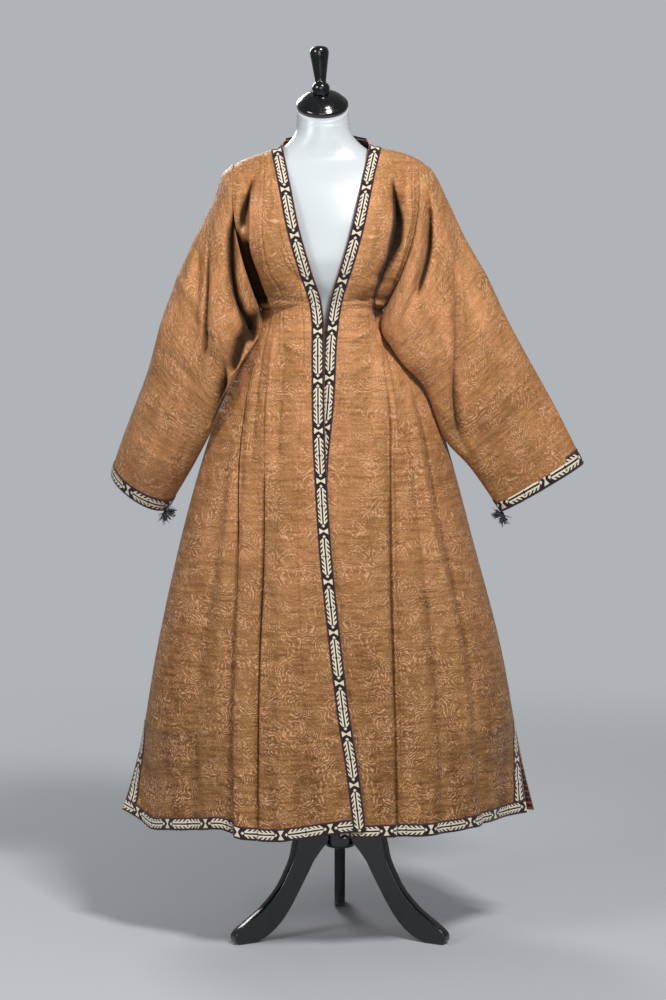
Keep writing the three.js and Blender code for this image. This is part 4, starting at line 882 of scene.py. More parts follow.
PANEL_Z, PANEL_CLIMB = panel_rows()
for side in SIGNS:
    grid, spots, painted_shade = front(side, PANEL_Z, PANEL_CLIMB, lambda stops, s=side: spread(stops, COUNTS[s]))
    sheet(f"{side}_front", grid, flat_places(grid, spots), BROCADE, "brocade", CLOTH,
          inside=LINING, painted_shade=painted_shade)

# Bands of the fronts: a patterned woven cotton band, turned down on the cloth along the inner edges, the
# hems and the slits, and slip-stitched along both its edges. Each keeps to the cloth's own points, moved
# out.
BAND_LIFT, BAND_DIP, BAND_THICKNESS = 1.6, 0.8, 1.1
BAND_ROWS = 9
HEM_ROWS = np.linspace(HEM_Z + 0.3, BAND_TOP_Z, BAND_ROWS)
SLIT_ROWS = np.linspace(BAND_TOP_Z + 0.3, SLIT_TOP_Z, 60)
BAND_STARTS = {"front_band_right": 8, "front_band_left": 88, "hem_band_right": 56, "hem_band_left": 28}
BAND_CUTS = {"front_band_right": 1410, "front_band_left": 1425, "hem_band_right": 580, "hem_band_left": 470}
SLIT_BAND_START, SLIT_BAND_CUT = 16, 170
# How far a band stays from the cloth's cut edge.
BAND_INSET = 0.4
WARP_THREAD, WEFT_WOBBLE = 1.1, 3.85
# The woven band's figures: their repeat, the hourglass's slope and thickness, the diamond's place and half
# size, the leaves' slope, distance and thickness, where they begin and end, the half widths of the stem and
# of the whole pattern, and how soft the edges are.
REPEAT, HOURGLASS_SLOPE, HOURGLASS, DIAMOND_AT, DIAMOND = 98.0, 0.58, 0.55, 10.4, 3.05
LEAF_SLOPE, LEAF_SHIFT, LEAF_STEP, LEAF_FROM, LEAF = 1.15, 3.45, 8.9, 15.4, 0.18
FIRST_LEAF, LAST_LEAF, STEM, PATTERN, SOFT = 11.0, 45.65, 3.95, 8.35, 0.7


def woven_band():
    """The band's pattern, which repeats along it and mirrors about its middle: an hourglass, a small diamond
    on each side of it, then stems with slanting leaves that meet in a chevron, all within a plain dark edge.
    a is the distance from the hourglass along the band, w that from the middle line, and slant the leaves'
    own slope."""
    made, tree, shader = finish("woven_cotton_band", IOR=1.5, Roughness=0.85, Sheen_Weight=0.2)
    plug(tree, shader, {"Specular IOR Level": 0.2})
    uv = node(tree, "UVMap", uv_map="UV")
    wobble = node(tree, "TexNoise", {"Vector": uv, "Scale": per_metre(WEFT_WOBBLE), "Detail": 2.0})
    shift = node(tree, "Math", (wobble, 0.9, -0.45), operation="MULTIPLY_ADD")
    across, along = node(tree, "SeparateXYZ", (uv,), 0), node(tree, "SeparateXYZ", (uv,), 1)
    across = node(tree, "Math", (across, 1 / MM, -BAND_WIDTH / 2), operation="MULTIPLY_ADD")
    along = node(tree, "Math", (along, 1 / MM, shift), operation="MULTIPLY_ADD")
    w = node(tree, "Math", (node(tree, "Math", (across,), operation="ABSOLUTE"), shift), **PLUS)
    a = node(tree, "Math", (along, REPEAT / 2), operation="PINGPONG")
    slope = node(tree, "Math", (w, -HOURGLASS_SLOPE, a), operation="MULTIPLY_ADD")
    hourglass = node(tree, "MapRange", (slope, HOURGLASS, HOURGLASS + SOFT, 1.0, 0.0), **RISE)
    from_dot = node(tree, "Math", (node(tree, "Math", (a, DIAMOND_AT), **LESS),), operation="ABSOLUTE")
    diamond = node(tree, "Math", (from_dot, w), **PLUS)
    diamond = node(tree, "MapRange", (diamond, DIAMOND, DIAMOND + SOFT, 1.0, 0.0), **RISE)
    slant = node(tree, "Math", (a, LEAF_SHIFT), **PLUS)
    slant = node(tree, "Math", (w, -LEAF_SLOPE, slant), operation="MULTIPLY_ADD")
    phase = node(tree, "Math", (slant, 1 / LEAF_STEP, 0.5 - LEAF_FROM / LEAF_STEP), operation="MULTIPLY_ADD")
    phase = node(tree, "Math", (node(tree, "Math", (phase,), operation="FRACT"), 0.5), **LESS)
    phase = node(tree, "Math", (phase,), operation="ABSOLUTE")
    leaves = node(tree, "MapRange", (phase, LEAF, LEAF + 0.14, 1.0, 0.0), **RISE)
    stem = node(tree, "MapRange", (w, STEM, STEM + SOFT, 1.0, 0.0), **RISE)
    point = node(tree, "Math", (node(tree, "Math", (REPEAT / 2, a), **LESS), w), **PLUS)
    for edge in ((slant, LAST_LEAF, LAST_LEAF + SOFT, 1.0, 0.0), (slant, FIRST_LEAF, FIRST_LEAF + 1)):
        leaves = node(tree, "Math", (leaves, node(tree, "MapRange", edge, **RISE)), **TIMES)
    leaves = node(tree, "Math", (leaves, stem), operation="MAXIMUM")
    for edge in ((a, 13.6, 14.2), (w, 1.2, 1.8), (point, 3.0, 3.8)):
        leaves = node(tree, "Math", (leaves, node(tree, "MapRange", edge, **RISE)), **TIMES)
    drawn = node(tree, "Math", (hourglass, diamond), operation="MAXIMUM")
    drawn = node(tree, "Math", (drawn, leaves), operation="MAXIMUM")
    within = node(tree, "MapRange", (w, PATTERN, PATTERN + SOFT, 1.0, 0.0), **RISE)
    drawn = node(tree, "Math", (drawn, within), **TIMES)
    long_threads = node(tree, "VectorMath", (uv, (1.0, 2.0, 1.0)), **TIMES)
    threads = node(tree, "TexNoise", {"Vector": long_threads, "Scale": per_metre(WARP_THREAD), "Detail": 2.0})
    edge = node(tree, "MapRange", (w, 9.8, 11.2), **RISE)
    ground = node(tree, "Mix", {0: edge, 6: linear("#241619"), 7: linear("#4A2A36")}, 2, **COLOURS)
    dark = node(tree, "MapRange", (threads, 0.4, 0.75), **RISE)
    ground = node(tree, "Mix", {0: dark, 6: ground, 7: linear("#120B0D")}, 2, **COLOURS)
    dark = node(tree, "MapRange", (threads, 0.35, 0.7), **RISE)
    cream = node(tree, "Mix", {0: dark, 6: linear("#DDD3BE"), 7: linear("#A79A84")}, 2, **COLOURS)
    rise = node(tree, "Math", (node(tree, "Math", (drawn, threads), **PLUS), 0.5), **TIMES)
    plug(tree, shader, {
        "Base Color": node(tree, "Mix", {0: drawn, 6: ground, 7: cream}, 2, **COLOURS),
        "Normal": node(tree, "Bump", {"Distance": 0.7 * MM, "Height": rise}),
    })
    return made


# Cotton band, card-woven: a purple-black ground with maroon edges and a raised cream pattern, matt and a
# little uneven, as its threads are.
BAND = woven_band()


def lifted(grid, edge_axis, closed=False):
    """The grid moved out to the band's face, with its two sewn edges along an axis lying lower."""
    crown = np.sin(np.pi * np.linspace(0, 1, grid.shape[edge_axis])) ** 0.35
    lift = BAND_LIFT - BAND_DIP * (1 - (crown[:, None] if edge_axis == 0 else crown[None]))
    return grid + normals_of(grid, closed) * lift[..., None]


def band_places(grid, across_axis, start):
    """Each point's place on a band: across it from 0 to its width, and along it from a start."""
    count = grid.shape[across_axis]
    along = start + lengths(grid.take(count // 2, across_axis)[None])[0]
    across = np.linspace(0, BAND_WIDTH, count)
    return np.stack(np.meshgrid(across, along, indexing="ij" if across_axis == 0 else "xy"), 2)


sewn = []


def band(part, grid, across_axis, start, cut, on):
    """A band over the cloth's points, whose edges are kept for the stitches; cut is not used."""
    uv = band_places(grid, across_axis, start)
    sheet(part, lifted(grid, across_axis), uv, BAND, "woven_band", BAND_THICKNESS)
    sewn.append((grid, across_axis))


for side in SIGNS:
    on = f"{side}_front_cloth"
    grid = front(side, PANEL_Z, PANEL_CLIMB,
                 lambda stops: np.linspace(BAND_INSET, stops[:, 1], BAND_ROWS).T)[0]
    name = f"front_band_{side}"
    band(name, grid, 1, BAND_STARTS[name], BAND_CUTS[name], on)
    grid = front(side, HEM_ROWS, np.zeros(BAND_ROWS), lambda stops, s=side: np.clip(
        spread(stops, COUNTS[s]), BAND_WIDTH + 0.3, stops[:, -1:] - BAND_INSET))[0]
    name = f"hem_band_{side}"
    band(name, grid, 0, BAND_STARTS[name], BAND_CUTS[name], on)
    grid = front(side, SLIT_ROWS, np.zeros(len(SLIT_ROWS)),
                 lambda stops: np.linspace(stops[:, -2], stops[:, -1] - BAND_INSET, BAND_ROWS).T)[0]
    band(f"slit_band_{side}_front", grid, 1, SLIT_BAND_START, SLIT_BAND_CUT, on)

# Back of the robe: brocade in one piece with its gores, in soft pleats down the skirt, sewn to the fronts
# along the sides and the shoulders. The striped lining shows behind its hem and is a sheet of its own there.
BACK_COLUMNS, BACK_SPLIT = 26, 5
NECK_FIRST, NECK_LAST = 8 / 26, 18 / 26
NECK_RISE = 16
BACK_PLEATS = table("place out", (0, 0), (0.12, 12), (0.17, -18), (0.3, 14), (0.36, -12), (0.44, 10),
                    (0.5, -10), (0.56, 10), (0.64, -12), (0.7, 14), (0.83, -18), (0.88, 12), (1, 0))
BACK_SEAMS = (0.17, 0.36, 0.5, 0.64, 0.83)
BACK_FOLDS = [
    [(500, -120, 12, 0), (800, -100, 12, 5), (1100, -80, 9, 4), (1200, -70, 8, 0)],
    [(500, 90, 12, 0), (800, 70, 12, 5), (1100, 48, 9, 4), (1200, 36, 8, 0)],
    [(1290, -120, 12, 0), (1380, -130, 13, -6), (1480, -120, 12, 0)],
    [(1290, 60, 12, 0), (1380, 74, 13, -6), (1480, 66, 12, 0)],
]
BACK_CROSSES = [
    (-120, 1265, -40, 1250, 6, -4),
    (-20, 1250, 60, 1266, 6, -4),
    (-110, 1430, 40, 1440, 10, -3),
    (-150, 600, -90, 620, 6, -3),
    (60, 720, 120, 700, 6, -3),
]
HEM_BAND_BACK_START, HEM_BAND_BACK_CUT = 40, 1040
LINING_CLOTH, LINING_GAP = 0.8, 0.4


def back(z, climb, places):
    """The back's grid: rows from the right side to the left one, whose ends are the side lines and the
    armholes and whose top is the shoulder line and, between the neck's two corners, a half round behind the
    neck."""
    corners = [EDGES[side][1][-1, 1] for side in SIGNS]
    start, end = outer_edge("right", z, climb, 1), outer_edge("left", z, climb, 1)
    rise = ((1 - np.cos(np.pi * climb)) / 2)[:, None]
    f = np.linspace(0, 1, SAMPLES)[None]
    height = mix(start[:, 2:], end[:, 2:], f)
    turns = []
    for edge, name in ((start, "left"), (end, "right")):
        offset = edge[:, :1] - axis_x(height)
        turns.append(np.arcsin(np.clip(offset / read(GIRTH, edge[:, 2:], name), -1, 1)))
    angle = mix(*turns, f)
    arc = axis_x(height) + half_width(height, angle) * np.sin(angle)
    place = (f - NECK_FIRST) / (NECK_LAST - NECK_FIRST)
    top = np.where(f < NECK_FIRST, mix(start[:, :1], corners[0], f / NECK_FIRST),
                   mix(*corners, 0.5 + 0.5 * np.sin(np.pi * (place - 0.5))))
    top = np.where(f > NECK_LAST, mix(corners[1], end[:, :1], (f - NECK_LAST) / (1 - NECK_LAST)), top)
    x = mix(arc, top, rise**2)
    x[:, 0], x[:, -1] = start[:, 0], end[:, 0]
    neck = (x > corners[0]) & (x < corners[1])
    goal = np.where(neck, shoulder_z(np.array(corners[0])), shoulder_z(x))
    inside = smooth(f, 0, NECK_FIRST) * (1 - smooth(f, NECK_LAST, 1))
    goal = goal + NECK_RISE * np.sin(np.pi * np.clip(place, 0, 1)) ** 0.7
    zz = np.where(climb[:, None] > 0, mix(UNDERARM_Z, goal, mix(rise, climb[:, None], inside)), z[:, None])
    y = robe_depth(x, zz, 1)
    y[(climb == 1)[:, None] & ~neck] = 0
    open_rows = (climb < 1)[:, None]
    y += np.where(open_rows, (start[:, 1] - y[:, 0])[:, None] * (1 - smooth(f, 0, 0.3)), 0)
    y += np.where(open_rows, (end[:, 1] - y[:, -1])[:, None] * smooth(f, 0.7, 1), 0)
    base = np.stack([x, np.maximum(y, 0.3), zz], 2)
    runs = lengths(base)
    spots = places(runs)
    points = along_rows(base, runs, spots)
    share = np.stack([np.interp(spots[r], runs[r], f[0]) for r in range(len(spots))])
    out = read(BACK_PLEATS, share, "out") * np.where(climb > 0, 0, 1 - smooth(z, 300, 1200))[:, None]
    out += folds_on(points[..., 0], points[..., 2], BACK_FOLDS, BACK_CROSSES)
    out += dents(points[..., 0], points[..., 2], RANDOM_SEED + 1)
    for seam in BACK_SEAMS:
        away = spots - np.stack([np.interp(seam, f[0], runs[r]) for r in range(len(spots))])[:, None]
        out += (-SEAM_SINK * bell(away, 2.4) + 0.6 * bell(np.abs(away) - 6, 4)) * (climb == 0)[:, None]
    waist = points[..., 2] - WAIST_Z
    gathers = np.sin(spots / GATHER_WAVE + 2 * np.sin(spots / 21)) * bell(waist + GATHER_DROP, 22)
    out += -WAIST_SINK * bell(waist, WAIST_WIDTH) + gathers
    sides = smooth(np.minimum(spots, runs[:, -1:] - spots), 0, EDGE_EASE)
    points[..., 1] += out * sides * np.clip(points[..., 1] / 60, 0, 1)
    points[..., 1] = np.maximum(points[..., 1], 0.3)
    for side, away in (("right", spots), ("left", runs[:, -1:] - spots)):
        curl = np.where(climb > 0, 0, SLITS[f"{side}_back"][1] * slit_opening(z))[:, None]
        points[..., 0] += SIGNS[side] * curl * np.clip(1 - away / CURL_WIDTH, 0, 1) ** 2
    # The third value is painted shade, dark where the pleats and folds sink.
    return points, spots, smooth(-out * sides, 8, 34)


def even(runs, count=BACK_COLUMNS * BACK_SPLIT + 1):
    """Distances at an even spacing."""
    return np.linspace(0, runs[:, -1], count).T


grid, spots, painted_shade = back(PANEL_Z, PANEL_CLIMB, even)
uv = flat_places(grid, spots)
sheet("back", grid, uv, BROCADE, "brocade", CLOTH, inside=LINING,
      painted_shade=painted_shade)
low = PANEL_Z <= SLIT_TOP_Z
lining = grid[low] - normals_of(grid[low]) * (CLOTH + LINING_GAP)
sheet("back_lining", lining, uv[low], LINING, "lining", LINING_CLOTH)
grid = back(HEM_ROWS, np.zeros(BAND_ROWS),
            lambda runs: np.clip(even(runs), BAND_INSET, runs[:, -1:] - BAND_INSET))[0]
band("hem_band_back", grid, 0, HEM_BAND_BACK_START, HEM_BAND_BACK_CUT, "back_cloth")
slit_places = {
    "right": lambda runs: np.linspace(BAND_INSET + 0 * runs[:, 0], BAND_WIDTH + 0 * runs[:, 0], BAND_ROWS).T,
    "left": lambda runs: np.linspace(runs[:, -1] - BAND_WIDTH, runs[:, -1] - BAND_INSET, BAND_ROWS).T,
}
for side in SIGNS:
    grid = back(SLIT_ROWS, np.zeros(len(SLIT_ROWS)), slit_places[side])[0]
    band(f"slit_band_{side}_back", grid, 1, SLIT_BAND_START, SLIT_BAND_CUT, "back_cloth")

# Neck band: the same woven band, standing up on the back's neckline and laid low at its two ends, with its
# plain dark underside towards the neck.
COLLAR_HEIGHT, COLLAR_ENDS = 24, 4
BAND_BACK, tree, shader = finish("woven_cotton_band_underside", Roughness=0.9)
spot = node(tree, "TexCoord", out="Object")
threads = node(tree, "TexNoise", {"Vector": spot, "Scale": per_metre(WARP_THREAD), "Detail": 2.0})
plug(tree, shader, {
    "Base Color": node(tree, "Mix", {0: threads, 6: linear("#140C10"), 7: linear("#382029")}, 2, **COLOURS),
    "Normal": node(tree, "Bump", {"Distance": 0.4 * MM, "Height": threads}),
})
neckline = back(np.array([UNDERARM_Z]), np.array([1.0]), lambda runs: even(runs, 400))[0][0]
neckline = neckline[neckline[:, 1] > 0.9]
rise = mix(COLLAR_ENDS, COLLAR_HEIGHT, np.sin(np.pi * np.linspace(0, 1, len(neckline))) ** 6)
share = np.linspace(0, 1, BAND_ROWS)[:, None]
collar = np.repeat(neckline[None], BAND_ROWS, 0)
collar[..., 2] += 0.3 + rise * share
uv = band_places(collar, 0, 12)
uv[..., 0] = share * rise + (BAND_WIDTH - rise) / 2
sheet("back_neck_band", collar, uv, BAND, "woven_band", BAND_THICKNESS,
      inside=BAND_BACK)

# Sleeves: long brocade tubes, cut straight and narrowing to the wrist, lined, sewn into the armholes and
# closed along their lower edge. They hang nearly flat in diagonal folds, with the woven band sewn round each
# cuff.
SLEEVES = {
    "right": table(
        "section topX topY topZ lowX lowY lowZ depth",
        (0, -212, 0, 1541, -157, 0, 1250, 84), (0.4, -233, 0, 1522, -152, -34, 1224, 77),
        (1, -250, 0, 1476, -168, -78, 1184, 66), (2, -274, 4, 1420, -196, -98, 1144, 58),
        (3, -311, 14, 1334, -217, -96, 1106, 54), (4, -343, 28, 1246, -240, -88, 1064, 52),
        (5, -381, 48, 1120, -262, -66, 1010, 52), (6, -428, 74, 1010, -300, -18, 936, 52),
        (7, -459, 98, 928, -352, 52, 846, 52),
    ),
    "left": table(
        "section topX topY topZ lowX lowY lowZ depth",
        (0, 152, 0, 1552, 86, 0, 1250, 86), (0.4, 183, 0, 1529, 80, -26, 1230, 78),
        (1, 211, 2, 1476, 82, -60, 1208, 68), (2, 248, 5, 1396, 99, -74, 1180, 58),
        (3, 291, 8, 1320, 125, -74, 1143, 50), (4, 330, 10, 1239, 166, -58, 1100, 46),
        (5, 381, 14, 1146, 208, -46, 994, 40), (6, 431, 18, 1058, 258, -22, 938, 34),
        (7, 490, 20, 942, 323, 4, 846, 28),
    ),
}
# Sections are counted from the armhole's seam, 0, to the cuff's edge.
CUFF_SECTION, CUFF_BAND_FROM, CUFF_BAND_TO = 7, 6.745, 6.997
BOW_ENDS = 3
ARMHOLE_GAP = 1.0
# How far a fold may sink, as a share of the ring's own bulge.
MOST_SUNK = 1.7
SLEEVE_ROWS, SLEEVE_POINTS = 190, 108
# Soft folds round a sleeve: their width, and rows of section, place between its edges, and how far they
# stand out.
SLEEVE_WAVES = {
    "right": [
        (0.11, [(0.3, 0.4, 0), (0.8, 0.52, -14), (1.2, 0.68, -14), (1.7, 0.8, -6), (2.1, 0.9, 0)]),
        (0.13, [(1.2, 0.12, 0), (1.8, 0.2, -9), (2.5, 0.4, -14), (3.3, 0.55, -12), (4.4, 0.62, -4),
                (5, 0.6, 0)]),
        (0.14, [(2.4, 0.78, 0), (3.2, 0.86, -9), (4.6, 0.9, -8), (5.6, 0.8, 0)]),
        (0.16, [(3, 0.2, 0), (4.2, 0.26, 7), (5.6, 0.3, 6), (6.8, 0.4, 0)]),
    ],
    "left": [
        (0.1, [(0.3, 0.2, 0), (0.7, 0.36, -8), (1.1, 0.55, -12), (1.5, 0.74, -8), (1.9, 0.86, 0)]),
        (0.12, [(1.5, 0.1, 0), (2, 0.17, -10), (2.9, 0.34, -14), (4, 0.6, -16), (4.9, 0.8, -9),
                (5.6, 0.9, 0)]),
        (0.14, [(2.4, 0.42, 0), (3.2, 0.52, 8), (4.2, 0.78, 8), (5, 0.95, 0)]),
        (0.12, [(3.6, 0.1, 0), (4.2, 0.2, -5), (5.3, 0.3, -6), (6.2, 0.36, 0)]),
    ],
}
SLEEVE_FOLDS = {
    "right": [
        [(1100, -296, 9, 0), (1155, -283, 9, -12), (1195, -271, 6, -20), (1244, -265, 5, -22),
         (1307, -259, 5, -20), (1360, -256, 5, -12), (1390, -254, 5, 0)],
        [(1270, -290, 5, 0), (1303, -288, 5, -10), (1351, -283, 6, -10), (1385, -282, 6, 0)],
        [(1010, -262, 12, 0), (1040, -253, 12, -20), (1100, -243, 12, -28), (1140, -236, 10, -14),
         (1180, -232, 8, 0)],
        [(1120, -216, 8, 0), (1150, -210, 12, -27), (1190, -194, 14, -33), (1215, -176, 12, -30),
         (1240, -160, 10, -20), (1256, -152, 8, 0)],
        [(880, -400, 16, 0), (960, -380, 16, 8), (1050, -350, 14, 6), (1120, -330, 12, 0)],
        [(860, -330, 8, 0), (930, -322, 8, -8), (1010, -300, 8, -6), (1050, -290, 8, 0)],
        [(1180, -168, 8, 0), (1215, -172, 9, -30), (1250, -184, 8, -32), (1290, -194, 7, -30),
         (1340, -199, 8, -32), (1390, -198, 8, -30), (1425, -193, 6, -24), (1448, -188, 5, 0)],
    ],
    "left": [
        [(960, 252, 8, 0), (1000, 244, 8, -18), (1034, 236, 7, -21), (1098, 230, 7, -20),
         (1151, 230, 6, -15), (1270, 232, 6, -14), (1340, 226, 6, -8), (1369, 222, 6, 0)],
        [(1170, 252, 6, 0), (1220, 246, 6, 9), (1290, 238, 6, 8), (1350, 230, 6, 0)],
        [(1266, 138, 6, 0), (1300, 146, 6, -22), (1327, 152, 6, -28), (1375, 159, 6, -30),
         (1426, 160, 5, -22), (1490, 156, 5, 0)],
        [(890, 341, 3, -3), (1008, 311, 3, -3)],
        [(1082, 341, 3, 0), (1160, 331, 3, -3), (1244, 321, 3, 0)],
        [(930, 300, 10, 0), (1000, 285, 10, -10), (1060, 268, 9, 0)],
    ],
}
SLEEVE_CROSSES = {
    "right": [(-420, 1000, -330, 930, 8, 3), (-300, 1240, -240, 1180, 8, -3),
              (-360, 1180, -290, 1100, 9, -4), (-330, 1330, -280, 1250, 9, 4)],
    "left": [(172, 1082, 230, 1020, 8, 4), (230, 1020, 285, 947, 8, 4), (290, 1300, 330, 1200, 9, 4),
             (350, 1120, 410, 1000, 9, -4)],
}


def sleeve_ends(side, at):
    """The upper and the lower point of a sleeve's rings at the sections in at."""
    names = ("topX", "topY", "topZ"), ("lowX", "lowY", "lowZ")
    return [np.stack([read(SLEEVES[side], at, name) for name in three], 1) for three in names]


def sleeve(side, sections, points=SLEEVE_POINTS):
    """A sleeve's grid: at each section a flattened ring, from the upper edge over the front and the lower
    edge to the back, whose plane stands across the sleeve's middle line once past the armhole's bow."""
    s = np.asarray(sections, float)
    top, low = sleeve_ends(side, s)
    after = sleeve_ends(side, np.minimum(CUFF_SECTION, s + 0.3))
    before = sleeve_ends(side, np.maximum(0, s - 0.3))
    along = (after[0] + after[1] - before[0] - before[1]) / 2
    half = (top - low) / 2
    forward = np.cross(along, half)
    forward *= np.where(forward[:, 1:2] > 0, -1, 1) / np.linalg.norm(forward, axis=1, keepdims=True)
    plain = np.clip(1 - s / BOW_ENDS, 0, 1)[:, None]
    forward = mix(forward, np.array([[0, -1, 0]]), plain)
    forward /= np.linalg.norm(forward, axis=1, keepdims=True)
    angle = np.linspace(0, 2 * np.pi, points, endpoint=False)[None]
    place = (1 - np.cos(angle)) / 2
    face = np.sin(angle)
    out = 1.4 * np.sin(s[:, None] * 5 + 3 * place) * face * smooth(s, 1, 3)[:, None]
    for width, rows in SLEEVE_WAVES[side]:
        wave = table("section place out", *rows)
        away = place - read(wave, s, "place")[:, None]
        out += read(wave, s, "out")[:, None] * bell(away, width) * np.clip(face * 4, 0, 1)
    grid = ((top + low) / 2)[:, None] + half[:, None] * np.cos(angle)[..., None]
    seam_z = grid[0, :, 2]
    bulge = face * read(SLEEVES[side], s, "depth")[:, None]
    wide = grid + forward[:, None] * bulge[..., None]
    folds = folds_on(wide[..., 0], wide[..., 2], SLEEVE_FOLDS[side], SLEEVE_CROSSES[side])
    folds *= np.clip(face * 4, 0, 1)
    worn = dents(wide[..., 0] + wide[..., 1], wide[..., 2], RANDOM_SEED + 2)
    out += folds + worn * face * smooth(s, 0, 0.5)[:, None]
    out = np.where(face > 0, np.maximum(out, -MOST_SUNK * bulge), out)
    grid = wide + forward[:, None] * out[..., None]
    sunk = np.where(face > 0, read(GROOVES[side], seam_z, "depth"), -read(GROOVES["back"], seam_z, "depth"))
    away = lengths(grid.transpose(1, 0, 2)).T
    sunk = sunk * bell(away, GROOVE_WIDTH) * np.clip(np.abs(face) * 3, 0, 1)
    y = grid[..., 1]
    front_y = np.minimum(y + sunk, np.maximum(y, -FACE_GAP))
    back_y = np.maximum(y + sunk, np.minimum(y, FACE_GAP))
    grid[..., 1] = np.where(face > 0, front_y, back_y)
    grid[..., 0] += ARMHOLES[side][3] * plain * face**2
    grid[..., 0] += SIGNS[side] * ARMHOLE_GAP * (1 - smooth(s, 0, 0.3))[:, None]
    # The second value is painted shade, dark where the sleeve sinks into the armhole groove and its folds.
    return grid, smooth(np.maximum(sunk, 0) - folds, 7, 20)


def ring_places(grid, band_width=None):
    """Each point's place on a tube's cloth: round it from the upper edge, and along its middle from its
    start, or, for a band round it, across the band and then round it."""
    round_it = lengths(np.concatenate([grid, grid[:, :1]], 1))
    if band_width is None:
        along = -lengths(grid.mean(1)[None])[0]
        return np.stack(np.broadcast_arrays(round_it, along[:, None]), 2)
    across = np.linspace(0, band_width, len(grid))
    return np.stack(np.broadcast_arrays(across[:, None], round_it), 2)


for side in SIGNS:
    grid, painted_shade = sleeve(side, CUFF_SECTION * np.linspace(0, 1, SLEEVE_ROWS) ** 1.25)
    sheet(f"{side}_sleeve", grid, ring_places(grid), BROCADE, "brocade", CLOTH,
          closed=True, inside=LINING, painted_shade=painted_shade)
    grid = sleeve(side, np.linspace(CUFF_BAND_FROM, CUFF_BAND_TO, BAND_ROWS), 2 * SLEEVE_POINTS)[0]
    cuff, uv = lifted(grid, 0, closed=True), ring_places(grid, BAND_WIDTH)
    sheet(f"cuff_band_{side}", cuff, uv, BAND, "woven_band", BAND_THICKNESS,
          closed=True)
    sewn.append((grid, 0))

# Tassels: ends of dark wool yarn bound into a short head and left loose, two bunches at the lower corner of
# each cuff, sewn on through the band.
STRANDS, STRAND_RADIUS, HEAD_LENGTH, BINDING_TURNS = 150, 0.8, 8, 5
HEAD_RADII = [1.4, 2.4, 2.9, 2.6, 2.9, 2.5, 1.2]
BINDING_RADIUS, BINDING_FROM, BINDING_STEP = 2.9, 2.6, 0.9
STRANDS_FROM, SHORTEST, LONGEST, SPREAD, CURL = 6, 12, 22, 0.28, 3.0
FIBRE = 1.4

# Wool yarn, spun and dyed blue-black: quite matt, lighter where its fibres stand off it.
YARN, tree, shader = finish("dyed_wool_yarn", Roughness=0.95, Sheen_Weight=0.3)
long_fibres = node(tree, "VectorMath", (node(tree, "TexCoord", out="Object"), (1.0, 1.0, 0.3)), **TIMES)
fibres = node(tree, "TexNoise", {"Vector": long_fibres, "Scale": per_metre(FIBRE), "Detail": 3.0})
share = node(tree, "MapRange", (fibres, 0.4, 0.7), **RISE)
plug(tree, shader, {
    "Base Color": node(tree, "Mix", {0: share, 6: linear("#0A0D13"), 7: linear("#232A33")}, 2, **COLOURS),
    "Normal": node(tree, "Bump", {"Distance": 0.5 * MM, "Height": fibres}),
})


def tube(path, radius, sides=6):
    """A thin round tube along a path: at each point a ring, square to the way ahead, of the radius there."""
    path = np.asarray(path, float)
    ahead = np.gradient(path, axis=0)
    ahead /= np.linalg.norm(ahead, axis=1, keepdims=True)
    aside = np.cross(ahead, [0.3, 0.9, 0.2])
    aside /= np.linalg.norm(aside, axis=1, keepdims=True)
    up = np.cross(ahead, aside)
    angle = np.linspace(0, 2 * np.pi, sides, endpoint=False)[None, :, None]
    ring = aside[:, None] * np.cos(angle) + up[:, None] * np.sin(angle)
    points = path[:, None] + ring * np.broadcast_to(radius, len(path))[:, None, None]
    return points.reshape(-1, 3), quads(len(path), sides, True)


def joined(parts):
    """One list of points and of faces from several."""
    starts = np.cumsum([0] + [len(points) for points, _ in parts])
    faces = np.concatenate([faces + start for (_, faces), start in zip(parts, starts)])
    return np.concatenate([points for points, _ in parts]), faces.tolist()


chance = np.random.default_rng(RANDOM_SEED)
for side in SIGNS:
    ends = sleeve(side, [CUFF_SECTION - 0.2, CUFF_SECTION], 2)[0][:, 1]
    line = (ends[1] - ends[0]) / np.linalg.norm(ends[1] - ends[0])
    start = ends[1] + line * 0.6
    one = np.cross(line, [0, 0, 1.0])
    one /= np.linalg.norm(one)
    two = np.cross(line, one)
    bunches = [np.array([-SIGNS[side] * 0.95, -0.2, -0.05]), np.array([SIGNS[side] * 0.1, -0.15, -0.95])]
    head = start + line * np.linspace(0, HEAD_LENGTH, len(HEAD_RADII))[:, None]
    parts = [tube(head, HEAD_RADII, 10)]
    angle = np.linspace(0, 2 * np.pi, 13)[:, None]
    for turn in range(BINDING_TURNS):
        centre = start + line * (BINDING_FROM + BINDING_STEP * turn)
        parts.append(tube(centre + BINDING_RADIUS * (one * np.cos(angle) + two * np.sin(angle)), 0.5, 5))
    t = np.linspace(0, 1, 9)[:, None]
    for k in range(STRANDS):
        aim = bunches[k % 2] + chance.normal(0, SPREAD, 3)
        aim /= np.linalg.norm(aim)
        curl = chance.normal(0, CURL, 3)
        wave = 0.7 * np.sin(9 * t + curl[0]) * np.array([[1, 0.5, 0.2]])
        reach = aim * chance.uniform(SHORTEST, LONGEST)
        path = start + line * STRANDS_FROM + reach * t + curl * t**2 + wave
        parts.append(tube(path, STRAND_RADIUS - 0.3 * t[:, 0], 5))
    stands_for(make_object(f"tassel_{side}_yarn", *joined(parts), YARN), "yarn", f"tassel_{side}")

# Stitches: slip stitches of doubled dark cotton thread along both edges of every band but the neck's, each
# a slim grain that lies on the cloth.
STITCH_STEP, STITCH_LENGTH, STITCH_RADIUS, STITCH_LIFT = 8.0, 3.4, 0.42, 0.9
TWIST = 0.7

